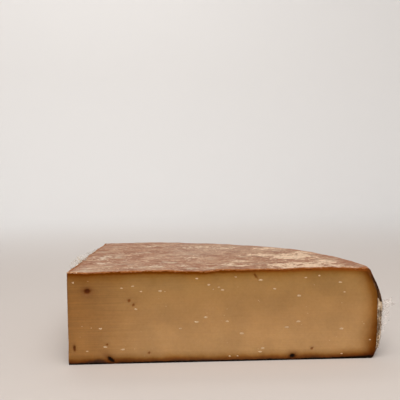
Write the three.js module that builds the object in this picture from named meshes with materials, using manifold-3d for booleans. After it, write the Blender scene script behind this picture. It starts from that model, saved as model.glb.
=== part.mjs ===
// A quarter of a big wheel of hard mountain cheese, resting on its lower face, with a
// remnant of cling film round its heel and its short cut. Millimetres, +Z up.
// The long cut faces -Y and runs along X, the short cut faces -X, and the wheel's
// rounded heel joins them at the back. It is made with its lower front left corner at the
// origin and then moved over the middle of its footprint.
import * as THREE from "three";
import { mergeVertices } from "three/addons/utils/BufferGeometryUtils.js";
import Module from "manifold-3d";

const wasm = await Module();
wasm.setup();

// The wheel that the piece comes from.
const WHEEL_RADIUS = 312.2; // at the heel's fullest
const THICKNESS = 101.7;
const FULLEST_HEIGHT = 58; // where the heel bulges furthest
const TOP_TAPER = 11.5; // how far the heel falls back at the upper face
const BOTTOM_TAPER = 8.5; // and at the lower face
const TOP_TAPER_POWER = 2.2;
const BOTTOM_TAPER_POWER = 2;
const TOP_CORNER = 4; // radius of the rounding where heel and upper face meet
const BOTTOM_CORNER = 3;

// The two cuts. The long one goes through the wheel's centre, the short one misses it.
const SHORT_CUT_PAST_CENTRE = 38;
const SHORT_CUT_SLANT = 0.014; // how much it leans inwards per millimetre towards the back
const KNIFE_WAVE = 0.35; // how far a cut face strays from flat
const RIND_BEVEL = 4; // how far the long cut's rind is worn back at the heel
const BEVEL_WIDTH = 6.5;
const WORN_CORNER = 4.6; // and how much of the upper corner is worn away there
const WORN_FROM = 62; // the wear begins at this height and is full at the next
const WORN_FULL = 100;

// Unevenness of the rind.
const TOP_SAG = 0.7; // the hollow in the upper face behind the long cut
const TOP_ROLL = 0.9; // long swells in the upper face
const TOP_DIMPLES = 0.45;
const HEEL_ROLL = 0.7;

// Cling film: its clearance over the cheese, its wall and how far its creases stand up.
const FILM_GAP = 0.5;
const FILM_WALL = 0.8;
const FILM_CREASE = 0.9;
const FILM_LOWEST = 9;
const FILM_FRONT = 1.5; // how far behind the long cut it begins
const FILM_EDGE_WAVE = 2.5;
const FILM_UPPER_EDGE_RIGHT = 66;
const FILM_UPPER_EDGE_LEFT = 95;

// How finely the surfaces are divided.
const PLAN_CELLS = 27; // along each side of the box that the piece is bent from
const SHOULDER_CELLS = 3; // of them, how many lie on the rounding at the heel
const LEVELS = [0, 0.9, 3, 12, 23, 35, 47, 58, 69.5, 80, 88.5, 94.7, 98.2, 100.53];
const SLIVER = 0.03; // edges that cutting leaves shorter or flatter than this are merged

// Round holes and cracks that the long cut opens, as distance from the short cut, height,
// width, height of the hole and how deep it goes.
const EYES = [
  { along: 22, up: 81, wide: 5.5, tall: 5.5, deep: 3.5 },
  { along: 7.5, up: 18, wide: 3, tall: 7, deep: 2.5 },
  { along: 67, up: 71, wide: 2.6, tall: 2.6, deep: 1.5 },
  { along: 73, up: 65, wide: 2.4, tall: 3, deep: 1.5 },
  { along: 47, up: 5.2, wide: 4, tall: 7, deep: 3 },
  { along: 248, up: 4, wide: 6, tall: 4, deep: 3 },
  { along: 208, up: 94.7, wide: 2.6, tall: 5, deep: 2 },
  { along: 270, up: 12.5, wide: 2.6, tall: 2.6, deep: 1.5 },
];

// Loose flaps of film. Each is a thin pleated sheet with its root in the film's wall: on
// the heel at a turn from the long cut, or along the short cut, between two heights or
// two distances, with how far it reaches out there and how much it flutters.
const HEEL_FLAPS = [
  { turn: 0.035, from: 13, to: 56, reach: 16, flutter: 4, layer: 11 },
  { turn: 0.075, from: 24, to: 60, reach: 23, flutter: 5, layer: 12 },
];
const CUT_FLAP = { from: 40, to: 236, root: 88, rise: 16.5, reach: 12, flutter: 2.2, layer: 13 };

// A repeatable random height from -1 to 1 for each point of an integer lattice.
function latticeHeight(i, j, layer) {
  const shuffled = Math.sin(i * 127.1 + j * 311.7 + layer * 74.7) * 43758.5453;
  return 2 * (shuffled - Math.floor(shuffled)) - 1;
}

// Smooth random relief: lattice heights blended by a cubic between their neighbours.
function relief(x, y, layer) {
  const i = Math.floor(x);
  const j = Math.floor(y);
  const u = THREE.MathUtils.smoothstep(x - i, 0, 1);
  const v = THREE.MathUtils.smoothstep(y - j, 0, 1);
  const near = THREE.MathUtils.lerp(latticeHeight(i, j, layer), latticeHeight(i + 1, j, layer), u);
  const far = THREE.MathUtils.lerp(latticeHeight(i, j + 1, layer), latticeHeight(i + 1, j + 1, layer), u);
  return THREE.MathUtils.lerp(near, far, v);
}

// How far a rounding of this radius has fallen away at a distance past its start.
function rounding(radius, past) {
  const within = THREE.MathUtils.clamp(past, 0, radius);
  return radius - Math.sqrt(radius * radius - within * within);
}

// The heel's radius at a height: a bulge that falls back faster above its fullest line,
// with its corners rounded off.
function heelRadius(z) {
  const above = Math.max(0, (z - FULLEST_HEIGHT) / (THICKNESS - FULLEST_HEIGHT));
  const below = Math.max(0, (FULLEST_HEIGHT - z) / FULLEST_HEIGHT);
  const bulge = WHEEL_RADIUS - TOP_TAPER * above ** TOP_TAPER_POWER - BOTTOM_TAPER * below ** BOTTOM_TAPER_POWER;
  const top = rounding(TOP_CORNER, z - (THICKNESS - TOP_CORNER));
  const bottom = rounding(BOTTOM_CORNER, BOTTOM_CORNER - z);
  return bulge - top - bottom;
}

const EDGE_HEIGHT = LEVELS[LEVELS.length - 1]; // the middle of the top corner's rounding
const CORNER_START = heelRadius(EDGE_HEIGHT) - TOP_CORNER * Math.SQRT1_2;

// The upper face's height above a place on the wheel, before its unevenness.
function topHeight(x, y) {
  const past = Math.hypot(x - SHORT_CUT_PAST_CENTRE, y) - CORNER_START;
  return THICKNESS - rounding(TOP_CORNER, Math.min(past, TOP_CORNER * Math.SQRT1_2));
}

// How high the uneven upper face stands over its mean level.
function topRelief(x, y) {
  const sag = -TOP_SAG * Math.exp(-(((x - 118) / 80) ** 2) - ((y - 10) / 90) ** 2);
  return sag + TOP_ROLL * relief(x / 70, y / 70, 1) + TOP_DIMPLES * relief(x / 24, y / 24, 2);
}

// How far the heel stands out at a turn round the wheel and a height.
function heelRelief(turn, z) {
  return HEEL_ROLL * relief(turn * 7, z / 45, 3) + 0.4 * HEEL_ROLL * relief(turn * 19, z / 16, 4);
}

// How far out from the corner a ring of cells lies, with narrow rings on the shoulder.
function ringReach(ring) {
  const plain = 1 - SHOULDER_CELLS / PLAN_CELLS;
  const shoulder = (TOP_CORNER + 4) / WHEEL_RADIUS;
  if (ring <= plain) return (ring / plain) * (1 - shoulder);
  return 1 - (shoulder * (1 - ring)) / (1 - plain);
}

// The place in the piece of a point of the unit box. The box's sides at +X and +Y become
// the heel, its edge between them the heel's middle, and every square ring of its plan
// bends into an arc between the two cuts. Swell moves the cuts and the heel outwards, and
// fold moves them out further, as a function of place.
function pieceAt(a, b, level, swell, fold) {
  const ring = Math.max(a, b);
  const bend = ring === 0 ? 0.5 : a >= b ? b / a / 2 : 1 - a / b / 2;
  const radius = heelRadius(level) + swell;
  const first = -Math.asin(swell / radius);
  const last = Math.PI / 2 + Math.asin((SHORT_CUT_PAST_CENTRE + swell) / radius);
  const turn = THREE.MathUtils.lerp(first, last, bend);
  const uneven = Math.sin((Math.PI * level) / THICKNESS) * heelRelief(turn, level);
  const worn = WORN_CORNER * Math.exp(-((turn / 0.05) ** 2)) * THREE.MathUtils.smoothstep(level, WORN_FROM, WORN_FULL);
  const onHeel = ring === 1 ? uneven + fold(turn, level) - worn : 0;
  const reach = ringReach(ring);
  const point = new THREE.Vector3(
    THREE.MathUtils.lerp(-swell, SHORT_CUT_PAST_CENTRE + (radius + onHeel) * Math.cos(turn), reach),
    THREE.MathUtils.lerp(-swell, (radius + onHeel) * Math.sin(turn), reach),
    0,
  );
  const share = level / EDGE_HEIGHT;
  point.z = share * topHeight(point.x, point.y);
  point.x += SHORT_CUT_SLANT * point.y * Math.max(0, 1 - point.x / WHEEL_RADIUS);
  if (b === 0) {
    const beyond = (point.x - SHORT_CUT_PAST_CENTRE - radius) / BEVEL_WIDTH + 1;
    const bevel = RIND_BEVEL * Math.max(0, beyond) * Math.min(1, level / 40);
    point.y += KNIFE_WAVE * relief(point.x / 60, point.z / 26, 6) + bevel;
  }
  if (a === 0) {
    point.x -= KNIFE_WAVE * relief(point.y / 60, point.z / 26, 7);
    if (ring < 1) point.x -= fold(-point.y / 90, level);
  }
  point.z += THREE.MathUtils.smoothstep(share, 0.5, 1) * topRelief(point.x, point.y);
  return point;
}

// The solid of a closed geometry, from its merged corners alone.
function solidOf(geometry) {
  const bare = new THREE.BufferGeometry();
  bare.setAttribute("position", geometry.getAttribute("position"));
  bare.setIndex(geometry.index);
  const merged = mergeVertices(bare, 1e-3);
  return new wasm.Manifold(
    new wasm.Mesh({
      numProp: 3,
      vertProperties: merged.attributes.position.array,
      triVerts: new Uint32Array(merged.index.array),
    }),
  );
}

// A solid bent from a unit box, whose points run from 0 to 1 on each axis.
function bentBox(cellsX, cellsY, cellsZ, placeOf) {
  const box = new THREE.BoxGeometry(1, 1, 1, cellsX, cellsY, cellsZ).translate(0.5, 0.5, 0.5);
  const place = box.getAttribute("position");
  for (let k = 0; k < place.count; k++) {
    const x = Math.round(place.getX(k) * cellsX) / cellsX;
    const y = Math.round(place.getY(k) * cellsY) / cellsY;
    const z = Math.round(place.getZ(k) * cellsZ) / cellsZ;
    placeOf(x, y, z).toArray(place.array, 3 * k);
  }
  return solidOf(box);
}

function quarter(swell, fold) {
  const rows = LEVELS.length - 1;
  return bentBox(PLAN_CELLS, PLAN_CELLS, rows, (x, y, z) => pieceAt(x, y, LEVELS[Math.round(z * rows)], swell, fold));
}

const noFold = () => 0;

function eyeSolid({ along, up, wide, tall, deep }) {
  const hole = new THREE.SphereGeometry(1, 10, 8);
  hole.scale(wide / 2, deep, tall / 2);
  hole.translate(along, 0, up);
  return solidOf(hole);
}

function cheeseSolid() {
  return EYES.reduce((left, eye) => left.subtract(eyeSolid(eye)), quarter(0, noFold));
}

// The space that the wrapped film may take: above the floor, behind the long cut and
// below a wavering upper edge, which is lower at the long cut's end of the heel.
function filmRegion() {
  const size = 1.3 * WHEEL_RADIUS;
  return bentBox(40, 40, 1, (x, y, z) => {
    const place = new THREE.Vector3(x * size - 20, y * size + FILM_FRONT, 0);
    const wave = FILM_EDGE_WAVE * relief(place.x / 31, place.y / 31, z > 0 ? 8 : 9);
    const turn = Math.atan2(place.y, place.x - SHORT_CUT_PAST_CENTRE);
    const upper = THREE.MathUtils.lerp(
      FILM_UPPER_EDGE_RIGHT,
      FILM_UPPER_EDGE_LEFT,
      THREE.MathUtils.smoothstep(turn, 0.15, 0.9),
    );
    place.z = z > 0 ? upper + Math.min(wave, THICKNESS - FILM_UPPER_EDGE_LEFT - 3) : FILM_LOWEST + Math.abs(wave);
    return place;
  });
}

// A loose flap that stands out from the heel. The box's X runs outwards, Y across its
// thickness and Z up along its root.
function heelFlap({ turn, from, to, reach, flutter, layer }) {
  return bentBox(5, 1, 10, (x, y, z) => {
    const level = THREE.MathUtils.lerp(from, to, z);
    const taper = (0.1 + 0.9 * THREE.MathUtils.smoothstep(z, 0, 0.6)) * (0.8 + 0.2 * relief(z * 5, 0, layer));
    const out = heelRadius(level) + FILM_GAP + 0.4 * FILM_WALL + x * reach * taper;
    const sway = x * flutter * relief(z * 6, x * 2, layer) + (y - 0.5) * FILM_WALL;
    const place = new THREE.Vector3(out, sway, level + x * 3 * relief(z * 3, 4, layer));
    return place.applyAxisAngle(new THREE.Vector3(0, 0, 1), turn).add(new THREE.Vector3(SHORT_CUT_PAST_CENTRE, 0, 0));
  });
}

// The loose flap along the short cut's upper edge. The box's X runs outwards, Y along
// the edge and Z across its thickness.
function cutFlap({ from, to, root, rise, reach, flutter, layer }) {
  return bentBox(4, 26, 1, (x, y, z) => {
    const taper = Math.sin(Math.PI * (0.06 + 0.88 * y ** 0.7)) * (0.85 + 0.15 * relief(y * 7, 0, layer));
    const lift = rise * x * (0.75 + 0.25 * taper);
    const back = THREE.MathUtils.lerp(from, to, y);
    return new THREE.Vector3(
      SHORT_CUT_SLANT * back - FILM_GAP - 0.4 * FILM_WALL - x * reach * taper,
      back + x * flutter * relief(y * 13, 2, layer),
      root + lift + (z - 0.5) * FILM_WALL,
    );
  });
}

function filmSolid() {
  const crease = (turn, z) => FILM_CREASE * Math.max(0, relief(turn * 9, z / 14 + turn * 4, 5));
  const wall = quarter(FILM_GAP + FILM_WALL, crease).subtract(quarter(FILM_GAP, noFold));
  const wrapped = wall.intersect(filmRegion());
  return [...HEEL_FLAPS.map(heelFlap), cutFlap(CUT_FLAP)].reduce((all, flap) => all.add(flap), wrapped);
}

// A named mesh of a solid.
function meshOf(solid, name, material) {
  const made = solid.simplify(SLIVER).getMesh();
  const geometry = new THREE.BufferGeometry();
  geometry.setAttribute("position", new THREE.BufferAttribute(new Float32Array(made.vertProperties), 3));
  geometry.setIndex(new THREE.BufferAttribute(new Uint32Array(made.triVerts), 1));
  geometry.computeVertexNormals();
  const mesh = new THREE.Mesh(geometry, material);
  mesh.name = name;
  return mesh;
}

const cheeseMaterial = new THREE.MeshStandardMaterial({ color: 0xb08450, roughness: 0.6, metalness: 0 });
const filmMaterial = new THREE.MeshStandardMaterial({
  color: 0xf2f0ea,
  roughness: 0.15,
  metalness: 0,
  transparent: true,
  opacity: 0.25,
});

const part = new THREE.Group();
part.add(meshOf(cheeseSolid(), "cheese", cheeseMaterial));
part.add(meshOf(filmSolid(), "cling_film", filmMaterial));
const box = new THREE.Box3().setFromObject(part);
const middle = box.getCenter(new THREE.Vector3());
part.position.set(-middle.x, -middle.y, -box.min.z);

export default part;
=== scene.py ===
# %% [markdown]
# A quarter of a mountain cheese
#
# The piece was cut from a wheel about 62 cm across and 10 cm thick. Two knife cuts show
# the pale brown paste with its white crystals, and dry rind covers the rest. A remnant
# of cling film still hugs the heel and the short cut.
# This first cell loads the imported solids. They are the frame that every finished
# surface below is built over.

# %% Load the frame
import math

import bpy
import numpy as np
from mathutils import Matrix, Vector


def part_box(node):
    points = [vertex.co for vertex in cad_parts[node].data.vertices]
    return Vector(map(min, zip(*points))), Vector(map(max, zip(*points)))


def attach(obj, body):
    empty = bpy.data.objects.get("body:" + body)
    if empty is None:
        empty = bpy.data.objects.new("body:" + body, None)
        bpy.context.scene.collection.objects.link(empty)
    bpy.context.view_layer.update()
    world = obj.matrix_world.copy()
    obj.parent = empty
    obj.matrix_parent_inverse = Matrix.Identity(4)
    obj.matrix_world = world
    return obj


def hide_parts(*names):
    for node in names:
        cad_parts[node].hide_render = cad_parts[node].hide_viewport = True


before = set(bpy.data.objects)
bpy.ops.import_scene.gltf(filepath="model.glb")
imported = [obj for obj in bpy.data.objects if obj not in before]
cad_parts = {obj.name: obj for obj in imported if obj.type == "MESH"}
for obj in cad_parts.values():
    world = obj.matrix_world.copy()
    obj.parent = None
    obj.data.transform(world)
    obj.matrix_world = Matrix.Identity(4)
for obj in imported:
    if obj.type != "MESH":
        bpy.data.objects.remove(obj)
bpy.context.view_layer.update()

MM = 0.001  # every shape below is worked out in millimetres

# %% [markdown]
# The wheel's form
#
# A wheel of cheese is turned by its mould, so its side is a profile carried round an
# axis. The piece has its corner of two cuts at the origin, the long cut along X and the
# short cut along Y, and the wheel's centre a little way along the long cut. These are
# the driving dimensions of the solid, and everything else follows from them. Only the
# wear of the edges differs from the solid's a little, because a fine mesh can show more.

# %% Driving dimensions
WHEEL_RADIUS = 312.2  # at the heel's fullest
THICKNESS = 101.7
FULLEST_HEIGHT = 58.0
TOP_TAPER, TOP_TAPER_POWER = 11.5, 2.2  # how the heel leans in above its fullest line
BOTTOM_TAPER, BOTTOM_TAPER_POWER = 8.5, 2.0  # and below it
TOP_CORNER, BOTTOM_CORNER = 4.0, 3.0  # the heel's roundings
CORNER_REACH = TOP_CORNER * math.sqrt(0.5)  # the upper face's half of the rounding
EDGE_HEIGHT = 100.53  # the middle of the upper rounding, where the box's side ends
PAST_CENTRE = 38.0  # the short cut misses the wheel's centre by this much
SHORT_CUT_SLANT = 0.014
SOLID_CELLS, SHOULDER_CELLS = 27, 3  # of the solid's own grid, in all and over the shoulder
print("wheel", 2 * WHEEL_RADIUS, "mm across and", THICKNESS, "mm thick")

# %% Wear and unevenness
KNIFE_WAVE, KNIFE_WAVE_LENGTH, KNIFE_WAVE_HEIGHT = 0.35, 60, 26
RIND_BEVEL, BEVEL_WIDTH, BEVEL_FADE, BEVEL_FULL = 4.0, 6.5, 8.0, 40  # full from this height up
WORN_CORNER, WORN_FROM, WORN_FULL = 3.5, 62.0, 100.0  # upper corner by the long cut, heights
WORN_FOOT, FOOT_HEIGHT = 3.0, 16.0  # and the lower corner
CORNER_WEAR_TURN = 0.05  # how far round the heel the wear of both reaches
FAR_WEAR, FAR_WEAR_TURN = 2.6, 0.012  # the edge between the heel and the short cut
TOP_SAG, SAG_PLACE, SAG_REACH = 0.7, (118, 10), (80, 90)
TOP_ROLL, ROLL_LENGTH = 0.9, 70
TOP_DIMPLES, DIMPLE_LENGTH = 0.45, 24
HEEL_ROLL, HEEL_FADE = 0.7, 12.0  # the heel's swells, and how far inwards they die out
print("edges worn by up to", max(WORN_CORNER, WORN_FOOT, FAR_WEAR), "mm")

# %% [markdown]
# Uneven surfaces
#
# Nothing on a cheese is flat. Every unevenness here comes from one recipe, value noise:
# a fixed random height at each point of a square lattice, blended smoothly in between.
# Several layers of it, each finer and weaker than the last, look like a natural surface.

# %% Noise as whole arrays
def lattice_height(i, j, layer):
    """A repeatable random number from -1 to 1: twice the fraction of a large sine, less 1."""
    large = np.sin(i * 127.1 + j * 311.7 + layer * 74.7) * 43758.5453
    return 2 * (large - np.floor(large)) - 1


def smooth(t, low=0.0, high=1.0):
    """An S-shaped rise from 0 at low to 1 at high: t squared times (3 - 2t)."""
    t = np.clip((t - low) / (high - low), 0, 1)
    return t * t * (3 - 2 * t)


def relief(x, y, layer):
    """Four lattice heights round (x, y), blended along X and then along Y."""
    i, j = np.floor(x), np.floor(y)
    u, v = smooth(x - i), smooth(y - j)
    near = lattice_height(i, j, layer) * (1 - u) + lattice_height(i + 1, j, layer) * u
    far = lattice_height(i, j + 1, layer) * (1 - u) + lattice_height(i + 1, j + 1, layer) * u
    return near * (1 - v) + far * v


def layered(x, y, layer, octaves=4):
    """A sum of reliefs, each twice as fine and half as high as the one before."""
    return sum(relief(x * 2**k, y * 2**k, layer + 31 * k) / 2**k for k in range(octaves))


def ridged(x, y, layer, octaves=3):
    """Sharp crests from 0 to about 1: one less the size of each relief, squared."""
    reliefs = [relief(x * 2**k, y * 2**k, layer + 17 * k) for k in range(octaves)]
    return sum((1 - np.abs(part)) ** 2 / 2**k for k, part in enumerate(reliefs)) / 1.75


print("noise of one point:", float(layered(np.array(1.5), np.array(2.5), 1)))

# %% [markdown]
# From a box to a quarter wheel
#
# A quarter wheel has five kinds of face: two cuts, the heel, and the upper and lower
# rind. A unit box has six. If the box's +X and +Y sides together bend into the heel, each
# other face keeps a side of its own, and the mesh stays a tidy grid with no pole. A point
# (a, b) of the box's plan lies on the square ring max(a, b), which bends into an arc.

# %% The heel's profile and the upper face
def rounding(radius, past):
    """How far a quarter circle has fallen away: r - sqrt(r * r - past * past)."""
    within = np.clip(past, 0, radius)
    return radius - np.sqrt(radius**2 - within**2)


def heel_radius(z):
    """The heel's profile: the full radius less a power of the height above or below its
    fullest line, less the two roundings."""
    above = np.maximum(0, (z - FULLEST_HEIGHT) / (THICKNESS - FULLEST_HEIGHT))
    below = np.maximum(0, (FULLEST_HEIGHT - z) / FULLEST_HEIGHT)
    bulge = WHEEL_RADIUS - TOP_TAPER * above**TOP_TAPER_POWER - BOTTOM_TAPER * below**BOTTOM_TAPER_POWER
    corners = rounding(TOP_CORNER, z - THICKNESS + TOP_CORNER)
    corners = corners + rounding(BOTTOM_CORNER, BOTTOM_CORNER - z)
    return bulge - corners


CORNER_START = float(heel_radius(EDGE_HEIGHT)) - CORNER_REACH  # radius where the rounding starts


def top_height(x, y):
    """The upper face's level: the thickness less the rounding near the heel."""
    past = np.minimum(np.hypot(x - PAST_CENTRE, y) - CORNER_START, CORNER_REACH)
    return THICKNESS - rounding(TOP_CORNER, past)


sample_heights = np.array([3.0, FULLEST_HEIGHT, 97.0])
print("heel's radius", sample_heights, "mm up:", heel_radius(sample_heights).round(1))

# %% Swells, hollows and wear
def top_relief(x, y):
    """A shallow hollow, a bell curve in x and y, plus long swells and dimples."""
    across, back = (x - SAG_PLACE[0]) / SAG_REACH[0], (y - SAG_PLACE[1]) / SAG_REACH[1]
    swells = TOP_ROLL * relief(x / ROLL_LENGTH, y / ROLL_LENGTH, 1)
    dimples = TOP_DIMPLES * relief(x / DIMPLE_LENGTH, y / DIMPLE_LENGTH, 2)
    return swells + dimples - TOP_SAG * np.exp(-(across**2) - back**2)


def knife_wave(along, z, layer):
    """The slow wave of a cut to either side of its plane, over its length and height."""
    return KNIFE_WAVE * relief(along / KNIFE_WAVE_LENGTH, z / KNIFE_WAVE_HEIGHT, layer)


def heel_relief(turn, z):
    """Swells of the heel, coarse and fine, over the turn round the wheel and the height."""
    return HEEL_ROLL * relief(turn * 7, z / 45, 3) + 0.4 * HEEL_ROLL * relief(turn * 19, z / 16, 4)


def heel_offset(turn, level):
    """What the heel's surface stands out or in from its profile: its swells, which die out
    at the edges, less the wear of the corners by the long cut and of the far edge."""
    uneven = np.sin(math.pi * level / THICKNESS) * heel_relief(turn, level)
    worn = WORN_CORNER * smooth(level, WORN_FROM, WORN_FULL) + WORN_FOOT * smooth(level, FOOT_HEIGHT, 1)
    worn = worn * np.exp(-((turn / CORNER_WEAR_TURN) ** 2))
    past_far = math.pi / 2 + math.asin(PAST_CENTRE / WHEEL_RADIUS) - turn
    return uneven - worn - FAR_WEAR * np.exp(-((past_far / FAR_WEAR_TURN) ** 2))


print("heel stands out or in by", heel_offset(np.array([0, 0.8, 1.6]), 90.0).round(2), "mm at 90 mm up")

# %% The map from the box to the piece
def ring_reach(ring):
    """How far out a ring lies: even steps, then narrow ones over the heel's shoulder."""
    plain = 1 - SHOULDER_CELLS / SOLID_CELLS
    shoulder = (TOP_CORNER + 4) / WHEEL_RADIUS
    narrow = 1 - shoulder * (1 - ring) / (1 - plain)
    return np.where(ring <= plain, ring / plain * (1 - shoulder), narrow)


def piece_at(a, b, level, swell=0.0):
    """The piece's point for a point (a, b) of the box's plan and a level in millimetres:
    the ring's share of the way from the corner of the cuts to a point of the heel, whose
    turn is the share b / a, or 1 - a / b, of the turn between the cuts. Swell moves the
    cuts and the heel outwards."""
    ring = np.maximum(a, b)
    over = np.where(ring == 0, 1, ring)
    bend = np.where(a >= b, b / over / 2, 1 - a / over / 2)
    bend = np.where(ring == 0, 0.5, bend)
    radius = heel_radius(level) + swell
    first = -np.arcsin(swell / radius)
    last = math.pi / 2 + np.arcsin((PAST_CENTRE + swell) / radius)
    turn = first + (last - first) * bend
    reach = ring_reach(ring)
    fading = np.maximum(0, 1 - (1 - reach) * radius / HEEL_FADE)
    out = radius + heel_offset(turn, level) * fading
    x = -swell * (1 - reach) + (PAST_CENTRE + out * np.cos(turn)) * reach
    y = -swell * (1 - reach) + out * np.sin(turn) * reach
    share = level / EDGE_HEIGHT
    z = share * top_height(x, y)
    x = x + SHORT_CUT_SLANT * y * np.maximum(0, 1 - x / WHEEL_RADIUS)
    beyond = np.clip((x - PAST_CENTRE - radius) / BEVEL_WIDTH + 1, 0, 1)
    bevel = RIND_BEVEL * beyond * np.minimum(1, level / BEVEL_FULL)
    y = y + np.where(b == 0, knife_wave(x, z, 6), 0)
    y = y + bevel * np.clip(1 - y / BEVEL_FADE, 0, 1)
    x = x - np.where(a == 0, knife_wave(y, z, 7), 0)
    z = z + smooth(share, 0.5, 1) * top_relief(x, y)
    return x, y, z, turn


print("the long cut's far upper end lies at x", float(piece_at(1.0, 0.0, EDGE_HEIGHT)[0].round(1)), "mm")

# %% [markdown]
# Where the piece stands
#
# The solids were moved over the middle of their footprint. The same map, taken at the
# solid's own coarse grid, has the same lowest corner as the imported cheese, so the
# difference of the two corners is that move.

# %% The corner of the two cuts in the frame
SOLID_LEVELS = [0, 0.9, 3, 12, 23, 35, 47, 58, 69.5, 80, 88.5, 94.7, 98.2, EDGE_HEIGHT]
solid_shares = np.linspace(0, 1, SOLID_CELLS + 1)
solid_grid = np.meshgrid(solid_shares, solid_shares, np.array(SOLID_LEVELS), indexing="ij")
solid_x, solid_y, solid_z, _ = piece_at(*solid_grid)
cheese_low, cheese_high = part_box("cheese")
corner = np.array([cheese_low.x / MM - solid_x.min(), cheese_low.y / MM - solid_y.min(), 0.0])
print("the cuts meet at", corner.round(2), "mm")
print("top of the solid", round(cheese_high.z / MM, 2), "mm, of the map", solid_z.max().round(2))

# %% [markdown]
# The camera
#
# The photograph was taken from a little above the cheese, half a step to the right of
# its left end. Its lens and place come from the straight edges and the round outline.

# %% Place the camera
CAMERA_FROM_CORNER = np.array([128.9, -644.7, 202.7])
FOCAL_LENGTH, SENSOR = 52.93, 36.0
TURNED_RIGHT, TILTED_DOWN, ROLLED = (math.radians(v) for v in (1.66, 2.04, 0.81))

camera_data = bpy.data.cameras.new("camera")
camera_data.lens, camera_data.sensor_width = FOCAL_LENGTH, SENSOR
camera_data.clip_start, camera_data.clip_end = 0.01, 50
camera = bpy.data.objects.new("camera", camera_data)
bpy.context.scene.collection.objects.link(camera)
camera_place = Matrix.Translation(Vector((corner + CAMERA_FROM_CORNER) * MM))
camera_aim = Matrix.Rotation(-TURNED_RIGHT, 4, "Z") @ Matrix.Rotation(math.pi / 2 - TILTED_DOWN, 4, "X")
camera.matrix_world = camera_place @ camera_aim @ Matrix.Rotation(-ROLLED, 4, "Z")
bpy.context.scene.camera = camera
print("camera at", tuple(round(v, 3) for v in camera.location))

# %% [markdown]
# Two kinds of helper
#
# Every surface in this file is an array of points and an array of faces, so one helper
# turns the two into an object. Every finish is a small tree of shader nodes, and a tree
# is easier to read as a formula, so each kind of node gets a function that returns its
# output: noise, a remapped range, a blend of two colours.

# %% Helpers that turn arrays into objects
def add_object(name, points, *faces):
    """A smooth mesh object from an array of points in millimetres from the corner of the
    cuts. Each further argument is an array of faces with one number of corners."""
    mesh = bpy.data.meshes.new(name)
    listed = [face for part in faces for face in part.tolist()]
    mesh.from_pydata(((points + corner) * MM).tolist(), [], listed)
    mesh.shade_smooth()
    made = bpy.data.objects.new(name, mesh)
    bpy.context.scene.collection.objects.link(made)
    print(name, len(points), "points,", len(listed), "faces")
    return made


def grid_faces(numbers, flip=False):
    """The four-cornered faces between the rows and columns of a grid of point numbers."""
    corners = [numbers[:-1, :-1], numbers[1:, :-1], numbers[1:, 1:], numbers[:-1, 1:]]
    faces = np.stack(corners[::-1] if flip else corners, -1)
    return faces.reshape(-1, 4)


def tube_faces(rings, around):
    """The faces of a closed tube: four corners between its rings, and three from the last
    two points, one at each end. Points are numbered ring by ring, end points last."""
    numbers = np.arange(rings * around).reshape(rings, around)
    looped = np.concatenate([numbers, numbers[:, :1]], 1)
    start, end = np.full(around, rings * around), np.full(around, rings * around + 1)
    first_cap = np.stack([looped[0, 1:], looped[0, :-1], start], -1)
    last_cap = np.stack([looped[-1, :-1], looped[-1, 1:], end], -1)
    return grid_faces(looped, flip=True), np.concatenate([first_cap, last_cap])


def add_values(made, name, values):
    """Stores one number per point, which a material can read by its name."""
    stored = made.data.attributes.new(name, "FLOAT", "POINT")
    stored.data.foreach_set("value", np.asarray(values, np.float32).ravel())


print("a tube of 3 rings of 4 points has", sum(len(part) for part in tube_faces(3, 4)), "faces")

# %% Helpers that build materials
def paint(red, green, blue):
    """A colour as it looks on a screen, 0 to 255, as the linear light that a shader wants."""
    share = np.array([red, green, blue]) / 255
    linear = np.where(share <= 0.04045, share / 12.92, ((share + 0.055) / 1.055) ** 2.4)
    return (*linear.tolist(), 1.0)


def set_inputs(tree, sockets, values):
    """Gives each socket a plain value, or a link from another node's output."""
    for socket, value in zip(sockets, values):
        if isinstance(value, bpy.types.NodeSocket):
            tree.links.new(value, socket)
        else:
            socket.default_value = value


def add_node(tree, kind, inputs=None, **settings):
    """Adds a shader node with its settings and its named inputs."""
    made = tree.nodes.new("ShaderNode" + kind)
    for name, value in settings.items():
        setattr(made, name, value)
    if inputs:
        set_inputs(tree, [made.inputs[name] for name in inputs], inputs.values())
    return made


def new_material(name):
    """An empty material, and its tree of nodes."""
    made = bpy.data.materials.new(name)
    made.use_nodes = True
    made.node_tree.nodes.clear()
    return made, made.node_tree


def finish_material(tree, **inputs):
    """Ends a material with one Principled shader. Its inputs are written with _ for a space."""
    named = {name.replace("_", " "): value for name, value in inputs.items()}
    shader = add_node(tree, "BsdfPrincipled", named)
    add_node(tree, "OutputMaterial", {"Surface": shader.outputs[0]})


print("middle grey of a screen is", round(paint(128, 128, 128)[0], 3), "of full light")

# %% Helpers for patterns and sums
def noise(tree, size, detail=3.0, stretch=(1, 1, 1), shift=0.0, roughness=0.5):
    """Smooth noise whose blobs measure size millimetres, longer along a stretched axis."""
    place = add_node(tree, "TexCoord").outputs["Object"]
    scale = [1 / (size * MM * s) for s in stretch]
    inputs = {"Vector": place, "Scale": scale, "Location": (shift, shift, shift)}
    moved = add_node(tree, "Mapping", inputs).outputs[0]
    inputs = {"Vector": moved, "Scale": 1.0, "Detail": detail, "Roughness": roughness}
    return add_node(tree, "TexNoise", inputs).outputs["Fac"]


def remap(tree, value, low, high, new_low=0.0, new_high=1.0):
    """Stretches low..high to new_low..new_high with an S-shaped rise, and holds the ends."""
    inputs = {"Value": value, "From Min": low, "From Max": high, "To Min": new_low, "To Max": new_high}
    return add_node(tree, "MapRange", inputs, interpolation_type="SMOOTHSTEP").outputs[0]


def arithmetic(tree, operation, *values):
    """One sum, product or other Math node of one to three values."""
    made = add_node(tree, "Math", operation=operation)
    set_inputs(tree, made.inputs, values)
    return made.outputs[0]


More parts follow.
